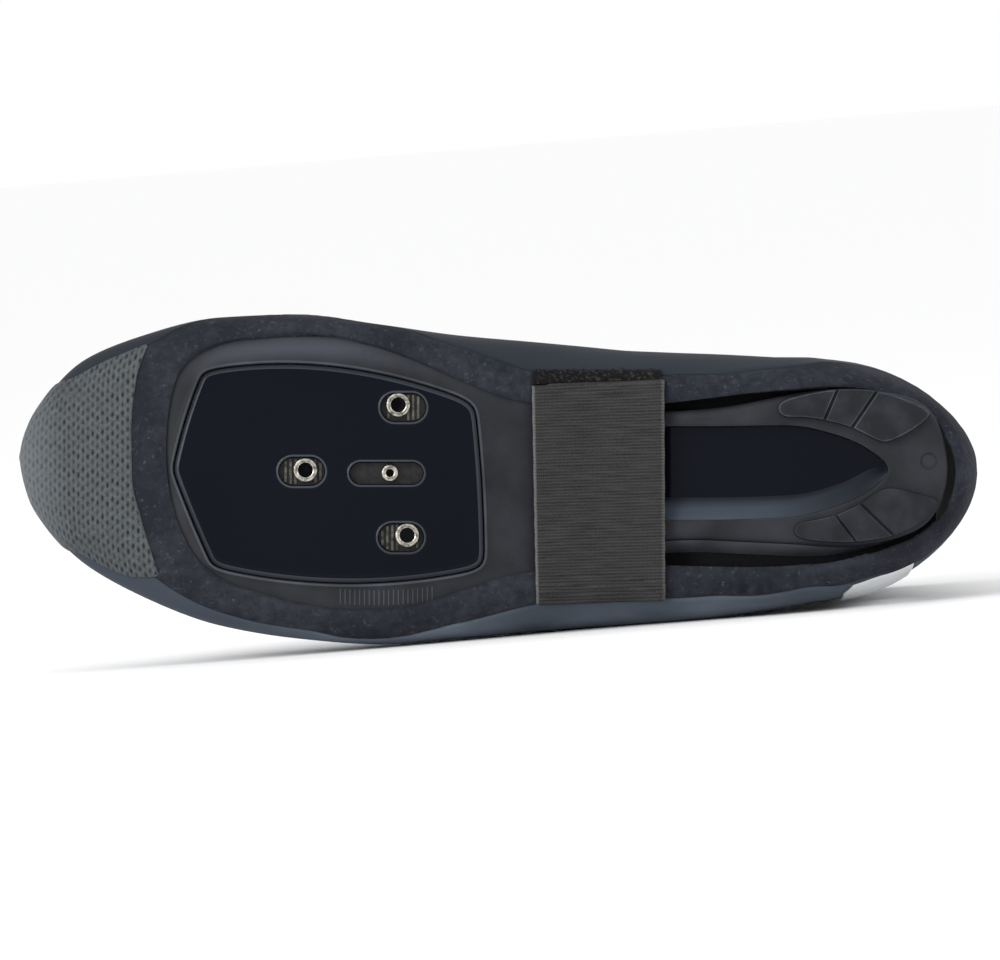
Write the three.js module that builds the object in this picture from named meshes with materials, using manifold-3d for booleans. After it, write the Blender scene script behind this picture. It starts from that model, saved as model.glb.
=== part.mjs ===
// Cycling overshoe for the right foot: a coated neoprene cover pulled over a road shoe. The cover is
// open at the ankle and along its underside, where the shoe's stiff sole shows, and a woven strap
// crosses that opening under the arch. Lengths are millimetres.
//
// The pieces are shaped standing: x runs from the toe tip to the heel, y towards the little toe (the
// lateral side) and z up from the ground. The finished shoe is then laid on its lateral side, where it
// rests on the ball of the foot, the heel and the ankle hem.

import * as THREE from 'three';
import { mergeVertices } from 'three/addons/utils/BufferGeometryUtils.js';
import Module from 'manifold-3d';

// Size of the fitted cover
const LENGTH = 290; // toe tip to heel
const BALL_WIDTH = 99; // across the ball of the foot
const INSTEP_HEIGHT = 100; // ground to the bend between foot and ankle
const COLLAR_HEIGHT = 166; // ground to the top hem
const TOE_SPRING = 18; // how far the toe tip curves up from the ground
const ARCH_RISE = 6; // how far the waist of the sole clears the ground

// Cover
const WALL = 2.2; // coated neoprene
const HEM_HEIGHT = 14;
const HEM_STEP = 0.8; // the folded hem stands proud of the wall
const TOE_PATCH_THICKNESS = 1;
const TOE_PATCH_HEIGHT = 33; // how far up the toe the patch wraps
const STRAP_THICKNESS = 1.6;
const HOOK_TAPE_THICKNESS = 1;
const REFLECTOR_THICKNESS = 0.6;

// Sole of the shoe inside
const FRAME_THICKNESS = 3;
const PLATE_THICKNESS = 2.6;
const PLATE_OVERHANG = 0.8; // the plate's edge stands out past the frame below it
const INSOLE_THICKNESS = 3;
const LAND_DEPTH = 0.6; // the cleat land is set back from the frame around it
const LAND_BEVEL = 0.9;
const HEEL_PAD_THICKNESS = 3;
const PAD_GROOVE_WIDTH = 1.2;
const PAD_GROOVE_DEPTH = 1.6;
const DIMPLE_DIAMETER = 5; // a round moulded mark between the heel pads
const DIMPLE_DEPTH = 0.8;

// Three-bolt cleat pattern
const BOLT_ALONG = 29.4; // front insert to the rear pair
const BOLT_ACROSS = 39.4; // between the rear pair
const BOLT_SKEW = 2.7; // how much further back the lateral insert of the pair lies
const INSERT_DIAMETER = 7.2;
const INSERT_BORE = 5;
const INSERT_HEIGHT = 2.2;
const INSERT_CHAMFER = 0.35;
const CENTRE_INSERT_DIAMETER = 5;
const CENTRE_INSERT_BORE = 2.6;
const SLOT_LENGTH = 14.4;
const SLOT_WIDTH = 9.6;
const SLOT_DEPTH = 2.9;
const CENTRE_SLOT_LENGTH = 23;
const CENTRE_SLOT_WIDTH = 7.6;

const GAP = 0.3; // between pieces that touch

// Fineness of the faceted surfaces
const RIBS_PER_ROW = 1.375;
const CORNER_STEPS = 5;
const SIDE_STEPS = 8;
const LAYER_STEPS = 27;
const OUTLINE_STEPS = 56;
const ROUND_STEPS = 16;
const BOW_STEPS = 6;
const MERGE_DISTANCE = 1e-4;

const HALF_BALL = BALL_WIDTH / 2;
const LOW = -20; // heights below and above the sole, for cuts that run right through it
const HIGH = 40;
const OVERREACH = 0.1; // cutting layers run past both ends of the foot by this share of its length

// Turns rows of numbers into objects with named columns
const table = (columns, ...rows) =>
  rows.map((row, index) => ({ row: index, ...Object.fromEntries(columns.map((name, i) => [name, row[i]])) }));

// Ribs of the cover, from the toe tip round the heel to above the ankle hem. Each rib is a closed loop
// that leans from a low point under the foot, or behind the heel, to a top point on the instep or shin.
// low and top are shares of LENGTH. rise and level are heights of those points: up to 1 as a share of
// INSTEP_HEIGHT, above 1 as the share of the way on to COLLAR_HEIGHT, and rise counts from the ground
// line. lateral, medial and apex are shares of half the ball width, and wide says how far up its rib
// the loop is widest. crown is the exponent of the loop's upper half. The underside is flat to bend
// short of edge, both shares of the half width, and then turns up.
const RIBS = table(
  [
    'low', 'rise', 'top', 'level', 'lateral', 'medial',
    'apex', 'wide', 'crown', 'edgeLateral', 'edgeMedial', 'bend',
  ],
  [0.0, 0.055, 0.0, 0.235, -0.139, 0.141, -0.14, 0.4, 2.0, 0.8, 0.8, 0.7],
  [0.004, 0.012, 0.004, 0.28, -0.01, 0.25, -0.14, 0.45, 2.1, 0.8, 0.8, 0.68],
  [0.011, 0.004, 0.011, 0.33, 0.127, 0.36, -0.14, 0.44, 2.15, 0.82, 0.84, 0.64],
  [0.027, 0.0, 0.027, 0.395, 0.28, 0.507, -0.13, 0.4, 2.2, 0.85, 0.88, 0.58],
  [0.0625, 0.0, 0.0625, 0.47, 0.495, 0.72, -0.11, 0.32, 2.3, 0.88, 0.92, 0.45],
  [0.125, 0.0, 0.125, 0.55, 0.707, 0.879, -0.08, 0.27, 2.3, 0.92, 0.96, 0.3],
  [0.208, 0.0, 0.208, 0.61, 0.89, 0.994, -0.05, 0.25, 2.3, 0.94, 0.99, 0.2],
  [0.29, 0.0, 0.29, 0.66, 0.97, 1.012, -0.04, 0.23, 2.25, 0.95, 1.0, 0.16],
  [0.375, 0.0, 0.375, 0.715, 1.006, 0.952, -0.04, 0.225, 2.2, 0.95, 1.0, 0.15],
  [0.458, 0.0, 0.458, 0.78, 0.97, 0.885, -0.03, 0.25, 2.2, 0.9, 0.92, 0.15],
  [0.54, 0.0, 0.525, 0.87, 0.93, 0.846, -0.02, 0.27, 2.2, 0.82, 0.79, 0.15],
  [0.6, 0.0, 0.548, 0.915, 0.91, 0.82, -0.01, 0.28, 2.2, 0.82, 0.79, 0.15],
  [0.68, 0.0, 0.565, 0.955, 0.883, 0.786, 0.0, 0.27, 2.2, 0.83, 0.82, 0.15],
  [0.77, 0.0, 0.578, 1.0, 0.84, 0.768, 0.0, 0.25, 2.2, 0.85, 0.86, 0.16],
  [0.86, 0.0, 0.588, 1.07, 0.78, 0.754, 0.0, 0.25, 2.2, 0.8, 0.91, 0.22],
  [0.938, 0.0, 0.597, 1.15, 0.745, 0.745, -0.01, 0.32, 2.2, 0.55, 0.72, 0.32],
  [0.976, 0.03, 0.604, 1.22, 0.735, 0.74, -0.03, 0.37, 2.2, 0.46, 0.57, 0.42],
  [0.994, 0.14, 0.611, 1.29, 0.73, 0.738, -0.04, 0.4, 2.2, 0.42, 0.48, 0.4],
  [1.0, 0.32, 0.618, 1.37, 0.73, 0.735, -0.04, 0.43, 2.2, 0.42, 0.46, 0.4],
  [0.994, 0.52, 0.626, 1.46, 0.73, 0.732, -0.04, 0.45, 2.2, 0.44, 0.47, 0.42],
  [0.98, 0.78, 0.634, 1.56, 0.742, 0.725, -0.02, 0.47, 2.2, 0.52, 0.54, 0.48],
  [0.968, 1.08, 0.642, 1.68, 0.726, 0.708, 0.0, 0.47, 2.2, 0.58, 0.58, 0.5],
  [0.958, 1.45, 0.65, 1.82, 0.71, 0.692, 0.0, 0.47, 2.2, 0.62, 0.62, 0.52],
  [0.955, 2.0, 0.658, 2.0, 0.697, 0.677, 0.0, 0.47, 2.2, 0.64, 0.64, 0.52],
  [0.955, 2.2, 0.66, 2.2, 0.697, 0.677, 0.0, 0.47, 2.2, 0.64, 0.64, 0.52],
);

// Height of the seam between the side panels and the underfoot panel, as shares of INSTEP_HEIGHT
const SEAM = table(
  ['along', 'lateral', 'medial'],
  [0.0, 0.2, 0.2],
  [0.07, 0.09, 0.1],
  [0.144, 0.036, 0.057],
  [0.2, 0.031, 0.098],
  [0.26, 0.031, 0.11],
  [0.295, 0.034, 0.11],
  [0.345, 0.06, 0.1],
  [0.387, 0.056, 0.085],
  [0.458, 0.039, 0.036],
  [0.533, 0.059, 0.05],
  [0.605, 0.089, 0.089],
  [0.674, 0.077, 0.08],
  [0.744, 0.042, 0.048],
  [0.813, 0.038, 0.041],
  [0.868, 0.08, 0.09],
  [0.92, 0.12, 0.13],
  [1.0, 0.13, 0.13],
);

// Outline of the opening under the foot: shares of LENGTH and of half the ball width
const OPENING = table(
  ['along', 'lateral', 'medial'],
  [0.152, -0.128, 0.128],
  [0.165, 0.27, 0.65],
  [0.194, 0.537, 0.793],
  [0.244, 0.677, 0.866],
  [0.334, 0.787, 0.872],
  [0.412, 0.76, 0.726],
  [0.508, 0.586, 0.5],
  [0.605, 0.519, 0.439],
  [0.744, 0.531, 0.519],
  [0.856, 0.5, 0.575],
  [0.933, 0.384, 0.519],
  [0.97, 0.195, 0.281],
  [0.981, -0.055, 0.055],
);
const OPENING_CUT_HEIGHT = 7; // how far up the cut for the opening reaches round the heel

// Outline of the sole frame, with the same columns
const SOLE = table(
  ['along', 'lateral', 'medial'],
  [0.03, -0.153, 0.153],
  [0.042, 0.214, 0.488],
  [0.084, 0.451, 0.696],
  [0.146, 0.647, 0.824],
  [0.209, 0.781, 0.897],
  [0.292, 0.866, 0.927],
  [0.396, 0.866, 0.83],
  [0.459, 0.781, 0.72],
  [0.532, 0.659, 0.574],
  [0.605, 0.488, 0.464],
  [0.674, 0.39, 0.421],
  [0.744, 0.397, 0.454],
  [0.818, 0.421, 0.538],
  [0.872, 0.42, 0.56],
  [0.933, 0.311, 0.488],
  [0.954, 0.2, 0.38],
  [0.967, -0.055, 0.055],
);

// Corners of the cleat land: shares of LENGTH and of half the ball width, lateral positive. The last two
// columns are the control point of the curve on to the next corner.
const LAND = table(
  ['along', 'across', 'bowAlong', 'bowAcross'],
  [0.16, -0.061, 0.172, -0.4],
  [0.192, -0.665, 0.328, -0.811],
  [0.474, -0.47, 0.484, 0.02],
  [0.484, 0.537, 0.343, 0.726],
  [0.202, 0.531, 0.18, 0.26],
);

// Recess in the heel of the frame. Its lateral wall slopes from the rim down to the plate.
const HEEL_RECESS = table(
  ['along', 'lateral', 'medial', 'floor'],
  [0.57, 0.1, 0.2, 0.0],
  [0.605, 0.244, 0.329, 0.116],
  [0.713, 0.244, 0.327, 0.116],
  [0.808, 0.226, 0.333, 0.1],
  [0.84, 0.181, 0.295, 0.07],
  [0.872, 0.116, 0.232, 0.03],
  [0.893, 0.03, 0.15, -0.02],
  [0.901, -0.06, 0.08, -0.06],
);

// Outlines of the two heel pads, and the ends of the grooves across them
const MEDIAL_PAD = table(
  ['along', 'across'],
  [0.793, -0.45], [0.807, -0.519], [0.834, -0.553], [0.87, -0.562], [0.907, -0.545], [0.934, -0.477],
  [0.952, -0.398], [0.899, -0.232], [0.884, -0.272], [0.864, -0.325], [0.839, -0.366], [0.803, -0.398],
);
const LATERAL_PAD = table(
  ['along', 'across'],
  [0.806, 0.32], [0.812, 0.27], [0.848, 0.211], [0.873, 0.145], [0.897, 0.059], [0.957, 0.138],
  [0.955, 0.191], [0.938, 0.28], [0.913, 0.345], [0.884, 0.385], [0.848, 0.388], [0.816, 0.36],
);
const PAD_GROOVES = table(
  ['fromAlong', 'fromAcross', 'toAlong', 'toAcross'],
  [0.857, -0.6, 0.834, -0.34],
  [0.897, -0.6, 0.862, -0.29],
  [0.848, 0.18, 0.874, 0.42],
  [0.868, 0.12, 0.917, 0.38],
);
const DIMPLE_ALONG = 0.947;
const DIMPLE_ACROSS = -0.12;

// Edge of the toe patch, seen from below
const TOE_PATCH = table(
  ['along', 'across'],
  [0.135, -0.83], [0.123, -0.63], [0.117, -0.3], [0.118, 0.0], [0.128, 0.25], [0.146, 0.585],
  [0.123, 0.59], [0.095, 0.54], [0.067, 0.454], [0.03, 0.33], [-0.03, 0.12],
  [-0.03, -0.2], [0.02, -0.46], [0.049, -0.598], [0.085, -0.71],
);

// Corners of the strap, of its hook tape and of the heel reflector
const STRAP = table(
  ['along', 'across'],
  [0.539, -0.628], [0.671, -0.628], [0.667, 0.744], [0.543, 0.757],
);
const HOOK_TAPE_WIDTH = 2.7;
const REFLECTOR = table(
  ['along', 'level'],
  [0.869, 0.08], [0.859, 0.14], [0.853, 0.6], [0.931, 0.66], [0.945, 0.08],
);

const CLEAT_ALONG = 0.298; // the front insert, as shares of LENGTH and of half the ball width
const CLEAT_ACROSS = -0.061;
const SOCKET_ALONG = 0.386; // the small centre insert
const SOCKET_ACROSS = -0.043;

const wasm = await Module();
wasm.setup();

// Reads a column of a table at any value of its key column, with a smooth curve that never overshoots
function read(rows, key, value, column) {
  const last = rows.length - 1;
  let i = 0;
  while (i < last - 1 && value > rows[i + 1][key]) i += 1;
  const slope = (k) => (rows[k + 1][column] - rows[k][column]) / (rows[k + 1][key] - rows[k][key]);
  const tangent = (k) => {
    if (k === 0) return slope(0);
    if (k === last) return slope(last - 1);
    const [before, after] = [slope(k - 1), slope(k)];
    return before * after <= 0 ? 0 : (2 * before * after) / (before + after);
  };
  const span = rows[i + 1][key] - rows[i][key];
  const t = THREE.MathUtils.clamp((value - rows[i][key]) / span, 0, 1);
  return (
    (1 + 2 * t) * (1 - t) ** 2 * rows[i][column] +
    t * (1 - t) ** 2 * span * tangent(i) +
    t * t * (3 - 2 * t) * rows[i + 1][column] -
    t * t * (1 - t) * span * tangent(i + 1)
  );
}

// Height of the line that the underside follows, before any lift of the heel rows
const SPRING_START = 0.27; // shares of LENGTH
const SPRING_EXPONENT = 2.5;
const ARCH_START = 0.45;
const ARCH_END = 0.8;
function ground(x) {
  const along = x / LENGTH;
  if (along < SPRING_START) {
    return TOE_SPRING * (1 - Math.max(along, 0) / SPRING_START) ** SPRING_EXPONENT;
  }
  const arch = THREE.MathUtils.clamp((along - ARCH_START) / (ARCH_END - ARCH_START), 0, 1);
  return ARCH_RISE * Math.sin(Math.PI * arch) ** 2;
}

// Underside of the sole frame: just inside the cover at the ball, and lifted on its pads at the heel
const LIFT_START = 0.56; // shares of LENGTH
const LIFT_END = 0.78;
function frameBottom(x) {
  const towardsHeel = THREE.MathUtils.smoothstep(x / LENGTH, LIFT_START, LIFT_END);
  return ground(x) + THREE.MathUtils.lerp(WALL, HEEL_PAD_THICKNESS, towardsHeel) + GAP;
}
const frameTop = (x) => frameBottom(x) + FRAME_THICKNESS;
const plateBottom = (x) => frameTop(x) + GAP;
const plateTop = (x) => plateBottom(x) + PLATE_THICKNESS;
const insoleBottom = (x) => plateTop(x) + GAP;

// Height that a level of the RIBS table stands for
const levelHeight = (level) =>
  Math.min(level, 1) * INSTEP_HEIGHT + Math.max(level - 1, 0) * (COLLAR_HEIGHT - INSTEP_HEIGHT);

// A closed mesh as a solid. Points that coincide are merged, and faces that collapse are dropped.
function solid(geometry) {
  const plain = geometry.clone();
  plain.deleteAttribute('normal');
  plain.deleteAttribute('uv');
  const merged = mergeVertices(plain, MERGE_DISTANCE);
  const corners = merged.index.array;
  const triVerts = [];
  for (let i = 0; i < corners.length; i += 3) {
    const [a, b, c] = corners.slice(i, i + 3);
    if (a !== b && b !== c && c !== a) triVerts.push(a, b, c);
  }
  const vertProperties = new Float32Array(merged.attributes.position.array);
  return new wasm.Manifold(
    new wasm.Mesh({ numProp: 3, vertProperties, triVerts: new Uint32Array(triVerts) }),
  );
}

// A surface through rings of points, each ring with as many points as the next, closed by a fan over
// its first and last ring. The rings turn anticlockwise when seen from the end they lead to.
function loft(rings) {
  const count = rings[0].length;
  const middle = (ring) => ring.reduce((sum, p) => sum.add(p), new THREE.Vector3()).divideScalar(count);
  const points = [...rings.flat(), middle(rings[0]), middle(rings.at(-1))];
  const [first, last] = [points.length - 2, points.length - 1];
  const faces = [];
  for (let j = 0; j < count; j += 1) {
    const next = (j + 1) % count;
    for (let i = 0; i < rings.length - 1; i += 1) {
      const [a, b] = [i * count + j, i * count + next];
      faces.push(a, b, b + count, a, b + count, a + count);
    }
    const end = (rings.length - 1) * count;
    faces.push(first, next, j, last, end + j, end + next);
  }
  return new THREE.BufferGeometry().setFromPoints(points).setIndex(faces);
}

// One half of a rib's loop, from its flat underside round to just short of its top. The corner is at
// its full width from CORNER_FULLNESS of the way up to the widest point.
const CORNER_FULLNESS = 0.45;
function ribSide(rib, side) {
  const centre = rib.apex * HALF_BALL;
  const span = side * (side > 0 ? rib.lateral : rib.medial) * HALF_BALL - centre;
  const edge = side > 0 ? rib.edgeLateral : rib.edgeMedial;
  const widest = rib.wide;
  const corner = new THREE.CubicBezierCurve(
    new THREE.Vector2(centre + span * (edge - rib.bend), 0),
    new THREE.Vector2(centre + span * edge, 0),
    new THREE.Vector2(centre + span, CORNER_FULLNESS * widest),
    new THREE.Vector2(centre + span, widest),
  );
  const points = corner.getPoints(CORNER_STEPS);
  for (let i = 1; i < SIDE_STEPS; i += 1) {
    const angle = ((i / SIDE_STEPS) * Math.PI) / 2;
    points.push(
      new THREE.Vector2(
        centre + span * Math.cos(angle) ** (2 / rib.crown),
        widest + (1 - widest) * Math.sin(angle) ** (2 / rib.crown),
      ),
    );
  }
  return points;
}

// The whole loop of the rib at a place between rows of the RIBS table
function ribLoop(place) {
  const rib = Object.fromEntries(Object.keys(RIBS[0]).map((name) => [name, read(RIBS, 'row', place, name)]));
  const lowX = rib.low * LENGTH;
  const low = new THREE.Vector3(lowX, 0, levelHeight(rib.rise) + (rib.rise < 1 ? ground(lowX) : 0));
  const top = new THREE.Vector3(rib.top * LENGTH, 0, levelHeight(rib.level));
  const centre = rib.apex * HALF_BALL;
  const outline = [
    new THREE.Vector2(centre, 0),
    ...ribSide(rib, 1),
    new THREE.Vector2(centre, 1),
    ...ribSide(rib, -1).reverse(),
  ];
  return outline.map((p) => low.clone().lerp(top, p.y).setY(p.x));
}

// The closed form of the cover's outside, grown or shrunk along its own normals
const bodyPlaces = Array.from(
  { length: Math.round((RIBS.length - 1) * RIBS_PER_ROW) + 1 },
  (_, i) => i / RIBS_PER_ROW,
);
const bodyGeometry = mergeVertices(loft(bodyPlaces.map(ribLoop)), MERGE_DISTANCE);
bodyGeometry.computeVertexNormals();
function body(growth) {
  const grown = bodyGeometry.clone();
  const { position, normal } = grown.attributes;
  for (let i = 0; i < position.count; i += 1) {
    position.setXYZ(
      i,
      position.getX(i) + growth * normal.getX(i),
      position.getY(i) + growth * normal.getY(i),
      position.getZ(i) + growth * normal.getZ(i),
    );
  }
  return solid(grown);
}

// A skin that follows the outside of the cover, from one distance off it to another
const skin = (from, to) => body(to).subtract(body(from));

// A solid between two heights that may vary along the foot and from side to side. It reaches past the
// foot all round, and sides says where across it, in ball widths, its heights are taken.
function layer(bottom, top, steps = LAYER_STEPS, sides = [-1, 1]) {
  const rings = [];
  for (let i = 0; i <= steps; i += 1) {
    const x = THREE.MathUtils.lerp(-OVERREACH, 1 + OVERREACH, i / steps) * LENGTH;
    const row = (height) => sides.map((side) => new THREE.Vector3(x, side * BALL_WIDTH, height(x, side)));
    rings.push([...row(bottom), ...row(top).reverse()]);
  }
  return solid(loft(rings));
}

// Everything below the seam of the underfoot panel, raised or lowered by a margin. The two sides have
// their own heights, which change over in a strip under the middle of the foot.
const MIDDLE_STRIP = 0.2; // half its width, in ball widths
const belowSeam = (margin) =>
  layer(
    () => LOW,
    (x, side) => read(SEAM, 'along', x / LENGTH, side > 0 ? 'lateral' : 'medial') * INSTEP_HEIGHT + margin,
    LAYER_STEPS,
    [-1, -MIDDLE_STRIP, MIDDLE_STRIP, 1],
  );

// Points of a table's rows in the plan of the foot
const plan = (row, column = 'across', sign = 1) =>
  new THREE.Vector2(row.along * LENGTH, sign * row[column] * HALF_BALL);

// A smooth closed outline through the lateral points of a table and back through the medial ones
function outline(rows) {
  const there = rows.map((row) => plan(row, 'lateral'));
  const back = rows.slice(1, -1).reverse().map((row) => plan(row, 'medial', -1));
  return smoothOutline([...there, ...back]);
}
function smoothOutline(points, steps = OUTLINE_STEPS) {
  const path = new THREE.CatmullRomCurve3(points.map((p) => new THREE.Vector3(p.x, p.y, 0)), true);
  return path.getPoints(steps).slice(0, -1).map((p) => new THREE.Vector2(p.x, p.y));
}

// The same outline moved outwards by a distance, with its corners kept sharp
function grow(points, distance) {
  const turn = Math.sign(THREE.ShapeUtils.area(points));
  const outwards = (from, to) =>
    new THREE.Vector2(to.y - from.y, from.x - to.x).normalize().multiplyScalar(turn);
  return points.map((p, i) => {
    const before = outwards(points.at(i - 1), p);
    const after = outwards(p, points[(i + 1) % points.length]);
    const mitre = before.clone().add(after).divideScalar(1 + before.dot(after));
    return p.clone().addScaledVector(mitre, distance);
  });
}

// An upright prism over an outline
function prism(points, bottom, top) {
  const geometry = new THREE.ExtrudeGeometry(new THREE.Shape(points), {
    depth: top - bottom,
    bevelEnabled: false,
    curveSegments: ROUND_STEPS,
  });
  return solid(geometry.translate(0, 0, bottom));
}

function material(color, roughness, metalness = 0) {
  return new THREE.MeshStandardMaterial({ color, roughness, metalness });
}
const MATERIALS = {
  coatedNeoprene: material(0x3c434c, 0.62),
  panelFabric: material(0x33353c, 0.8),
  toeKnit: material(0x62686c, 0.7),
  webbing: material(0x3d3e3f, 0.85),
  hookTape: material(0x17181a, 0.9),
  reflective: material(0x9a9ea2, 0.4),
  soleFrame: material(0x3b3c41, 0.5),
  solePlate: material(0x151a26, 0.15),
  heelRubber: material(0x3a3c41, 0.7),
  insoleFoam: material(0x2a2c30, 0.9),
  steel: material(0xa8a69f, 0.35, 1),
};

const standing = new THREE.Group();
function add(name, piece, look) {
  const { vertProperties, triVerts } = piece.getMesh();
  const geometry = new THREE.BufferGeometry();
  geometry.setAttribute('position', new THREE.BufferAttribute(new Float32Array(vertProperties), 3));
  geometry.setIndex(new THREE.BufferAttribute(new Uint32Array(triVerts), 1));
  geometry.computeVertexNormals();
  const mesh = new THREE.Mesh(geometry, MATERIALS[look]);
  mesh.name = name;
  standing.add(mesh);
}

// The cover is one hollow wall, open at the ankle, with a folded hem round its top
const cavity = body(-WALL);
const upToCollar = layer(() => LOW, () => COLLAR_HEIGHT, 1);
const hemBand = layer(() => COLLAR_HEIGHT - HEM_HEIGHT, () => COLLAR_HEIGHT, 1);
const wall = body(0).intersect(upToCollar).subtract(cavity);
const hem = body(HEM_STEP).intersect(hemBand).subtract(cavity);
const openingOutline = outline(OPENING);
add('upper', wall.subtract(belowSeam(GAP / 2)).add(hem), 'coatedNeoprene');
add(
  'underfoot_panel',
  wall.intersect(belowSeam(-GAP / 2)).subtract(prism(openingOutline, LOW, OPENING_CUT_HEIGHT)),
  'panelFabric',
);

// Overlays sewn or bonded on the outside of the cover
const toePatchPrism = prism(smoothOutline(TOE_PATCH.map((row) => plan(row))), LOW, TOE_PATCH_HEIGHT);
add('toe_patch', skin(GAP, GAP + TOE_PATCH_THICKNESS).intersect(toePatchPrism), 'toeKnit');

const strapCorners = STRAP.map((row) => plan(row));
const strapSkin = skin(GAP, GAP + STRAP_THICKNESS);
add('arch_strap', strapSkin.intersect(prism(strapCorners, LOW, HIGH)), 'webbing');
const [medialFront, medialBack] = strapCorners;
const tapeCorners = [
  [medialFront, -GAP - HOOK_TAPE_WIDTH],
  [medialBack, -GAP - HOOK_TAPE_WIDTH],
  [medialBack, -GAP],
  [medialFront, -GAP],
].map(([corner, offset]) => new THREE.Vector2(corner.x, corner.y + offset));
const tapeSkin = skin(GAP, GAP + HOOK_TAPE_THICKNESS);
add('hook_tape', tapeSkin.intersect(prism(tapeCorners, LOW, HIGH)), 'hookTape');

// The reflector's outline is drawn from the side, so its prism is turned to run out to the lateral side
const reflectorShape = REFLECTOR.map(
  (row) => new THREE.Vector2(row.along * LENGTH, -row.level * INSTEP_HEIGHT),
);
const reflectorPrism = new THREE.ExtrudeGeometry(new THREE.Shape(reflectorShape), {
  depth: BALL_WIDTH,
  bevelEnabled: false,
}).rotateX(-Math.PI / 2);
add(
  'heel_reflector',
  skin(GAP, GAP + REFLECTOR_THICKNESS).intersect(solid(reflectorPrism)),
  'reflective',
);

// The sole lies inside the cover, clear of its wall
const insideCover = body(-WALL - GAP);
const soleOutline = outline(SOLE);
const landShape = new THREE.Shape();
LAND.forEach((corner, i) => {
  const next = LAND[(i + 1) % LAND.length];
  if (i === 0) landShape.moveTo(corner.along * LENGTH, corner.across * HALF_BALL);
  landShape.quadraticCurveTo(
    corner.bowAlong * LENGTH,
    corner.bowAcross * HALF_BALL,
    next.along * LENGTH,
    next.across * HALF_BALL,
  );
});
const landOutline = landShape.getPoints(BOW_STEPS).slice(0, -1);

// The heel recess is cut with a loft whose lateral side slopes
const recessRings = [];
for (let i = 0; i <= ROUND_STEPS; i += 1) {
  const ends = HEEL_RECESS.at(-1).along - HEEL_RECESS[0].along;
  const along = HEEL_RECESS[0].along + ends * Math.sin(((i / ROUND_STEPS) * Math.PI) / 2);
  const x = along * LENGTH;
  const at = (column, sign) => sign * read(HEEL_RECESS, 'along', along, column) * HALF_BALL;
  const [rim, floor, inner] = [at('lateral', 1), at('floor', 1), at('medial', -1)];
  const [bottom, top] = [frameBottom(x), frameTop(x)];
  recessRings.push([
    new THREE.Vector3(x, inner, bottom - 2 * GAP),
    new THREE.Vector3(x, rim, bottom - 2 * GAP),
    new THREE.Vector3(x, rim, bottom),
    new THREE.Vector3(x, floor, top),
    new THREE.Vector3(x, floor, top + 2 * GAP),
    new THREE.Vector3(x, inner, top + 2 * GAP),
  ]);
}
const dimpleRadius = DIMPLE_DIAMETER / 2;
const dimple = new THREE.CylinderGeometry(dimpleRadius, dimpleRadius, 2 * DIMPLE_DEPTH, ROUND_STEPS)
  .rotateX(Math.PI / 2)
  .translate(DIMPLE_ALONG * LENGTH, DIMPLE_ACROSS * HALF_BALL, frameBottom(DIMPLE_ALONG * LENGTH));
add(
  'outsole_frame',
  layer(frameBottom, frameTop)
    .intersect(prism(soleOutline, LOW, HIGH))
    .intersect(insideCover)
    .subtract(prism(grow(landOutline, GAP), LOW, HIGH))
    .subtract(solid(loft(recessRings)))
    .subtract(solid(dimple)),
  'soleFrame',
);

// The land for the cleat is one flat face, parallel to a line along the ball of the foot
const landFront = LAND[0].along * LENGTH;
const landBack = LAND[3].along * LENGTH;
const landFrontHeight = frameBottom(landFront) + LAND_DEPTH;
const landBackHeight = frameBottom(landBack) + LAND_DEPTH;
const landTilt = Math.atan2(landBackHeight - landFrontHeight, landBack - landFront);
const landHeight = (x) => landFrontHeight + (x - landFront) * Math.tan(landTilt);
// Puts a geometry that was drawn upwards from zero onto the land, at a place in the plan of the foot
const onLand = (geometry, x, y, lift = 0) =>
  geometry.rotateY(-landTilt).translate(x, y, landHeight(x) + lift);

const landMiddle = (landFront + landBack) / 2;
const landDepth = FRAME_THICKNESS + PLATE_THICKNESS;
const landBlock = new THREE.ExtrudeGeometry(
  new THREE.Shape(grow(landOutline, -LAND_BEVEL).map((p) => new THREE.Vector2(p.x - landMiddle, p.y))),
  { depth: landDepth, bevelThickness: LAND_BEVEL, bevelSize: LAND_BEVEL, bevelSegments: 1 },
).translate(0, 0, LAND_BEVEL);

function slotCutter(x, y, length, width) {
  const shape = new THREE.Shape();
  const [half, radius] = [(length - width) / 2, width / 2];
  shape.absarc(half, 0, radius, -Math.PI / 2, Math.PI / 2);
  shape.absarc(-half, 0, radius, Math.PI / 2, (3 * Math.PI) / 2);
  const geometry = new THREE.ExtrudeGeometry(shape, {
    depth: 2 * SLOT_DEPTH,
    bevelEnabled: false,
    curveSegments: ROUND_STEPS / 2,
  });
  return solid(onLand(geometry.translate(0, 0, -SLOT_DEPTH), x, y));
}

// A threaded insert stands on the floor of its slot
function insert(x, y, diameter, bore) {
  const [outer, inner] = [diameter / 2, bore / 2];
  const profile = [
    [inner, INSERT_CHAMFER], [inner + INSERT_CHAMFER, 0], [outer - INSERT_CHAMFER, 0],
    [outer, INSERT_CHAMFER], [outer, INSERT_HEIGHT], [inner, INSERT_HEIGHT], [inner, INSERT_CHAMFER],
  ].map(([radius, height]) => new THREE.Vector2(radius, height));
  const ring = new THREE.LatheGeometry(profile, ROUND_STEPS).rotateX(Math.PI / 2);
  return solid(onLand(ring, x, y, SLOT_DEPTH - GAP - INSERT_HEIGHT));
}

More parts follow.
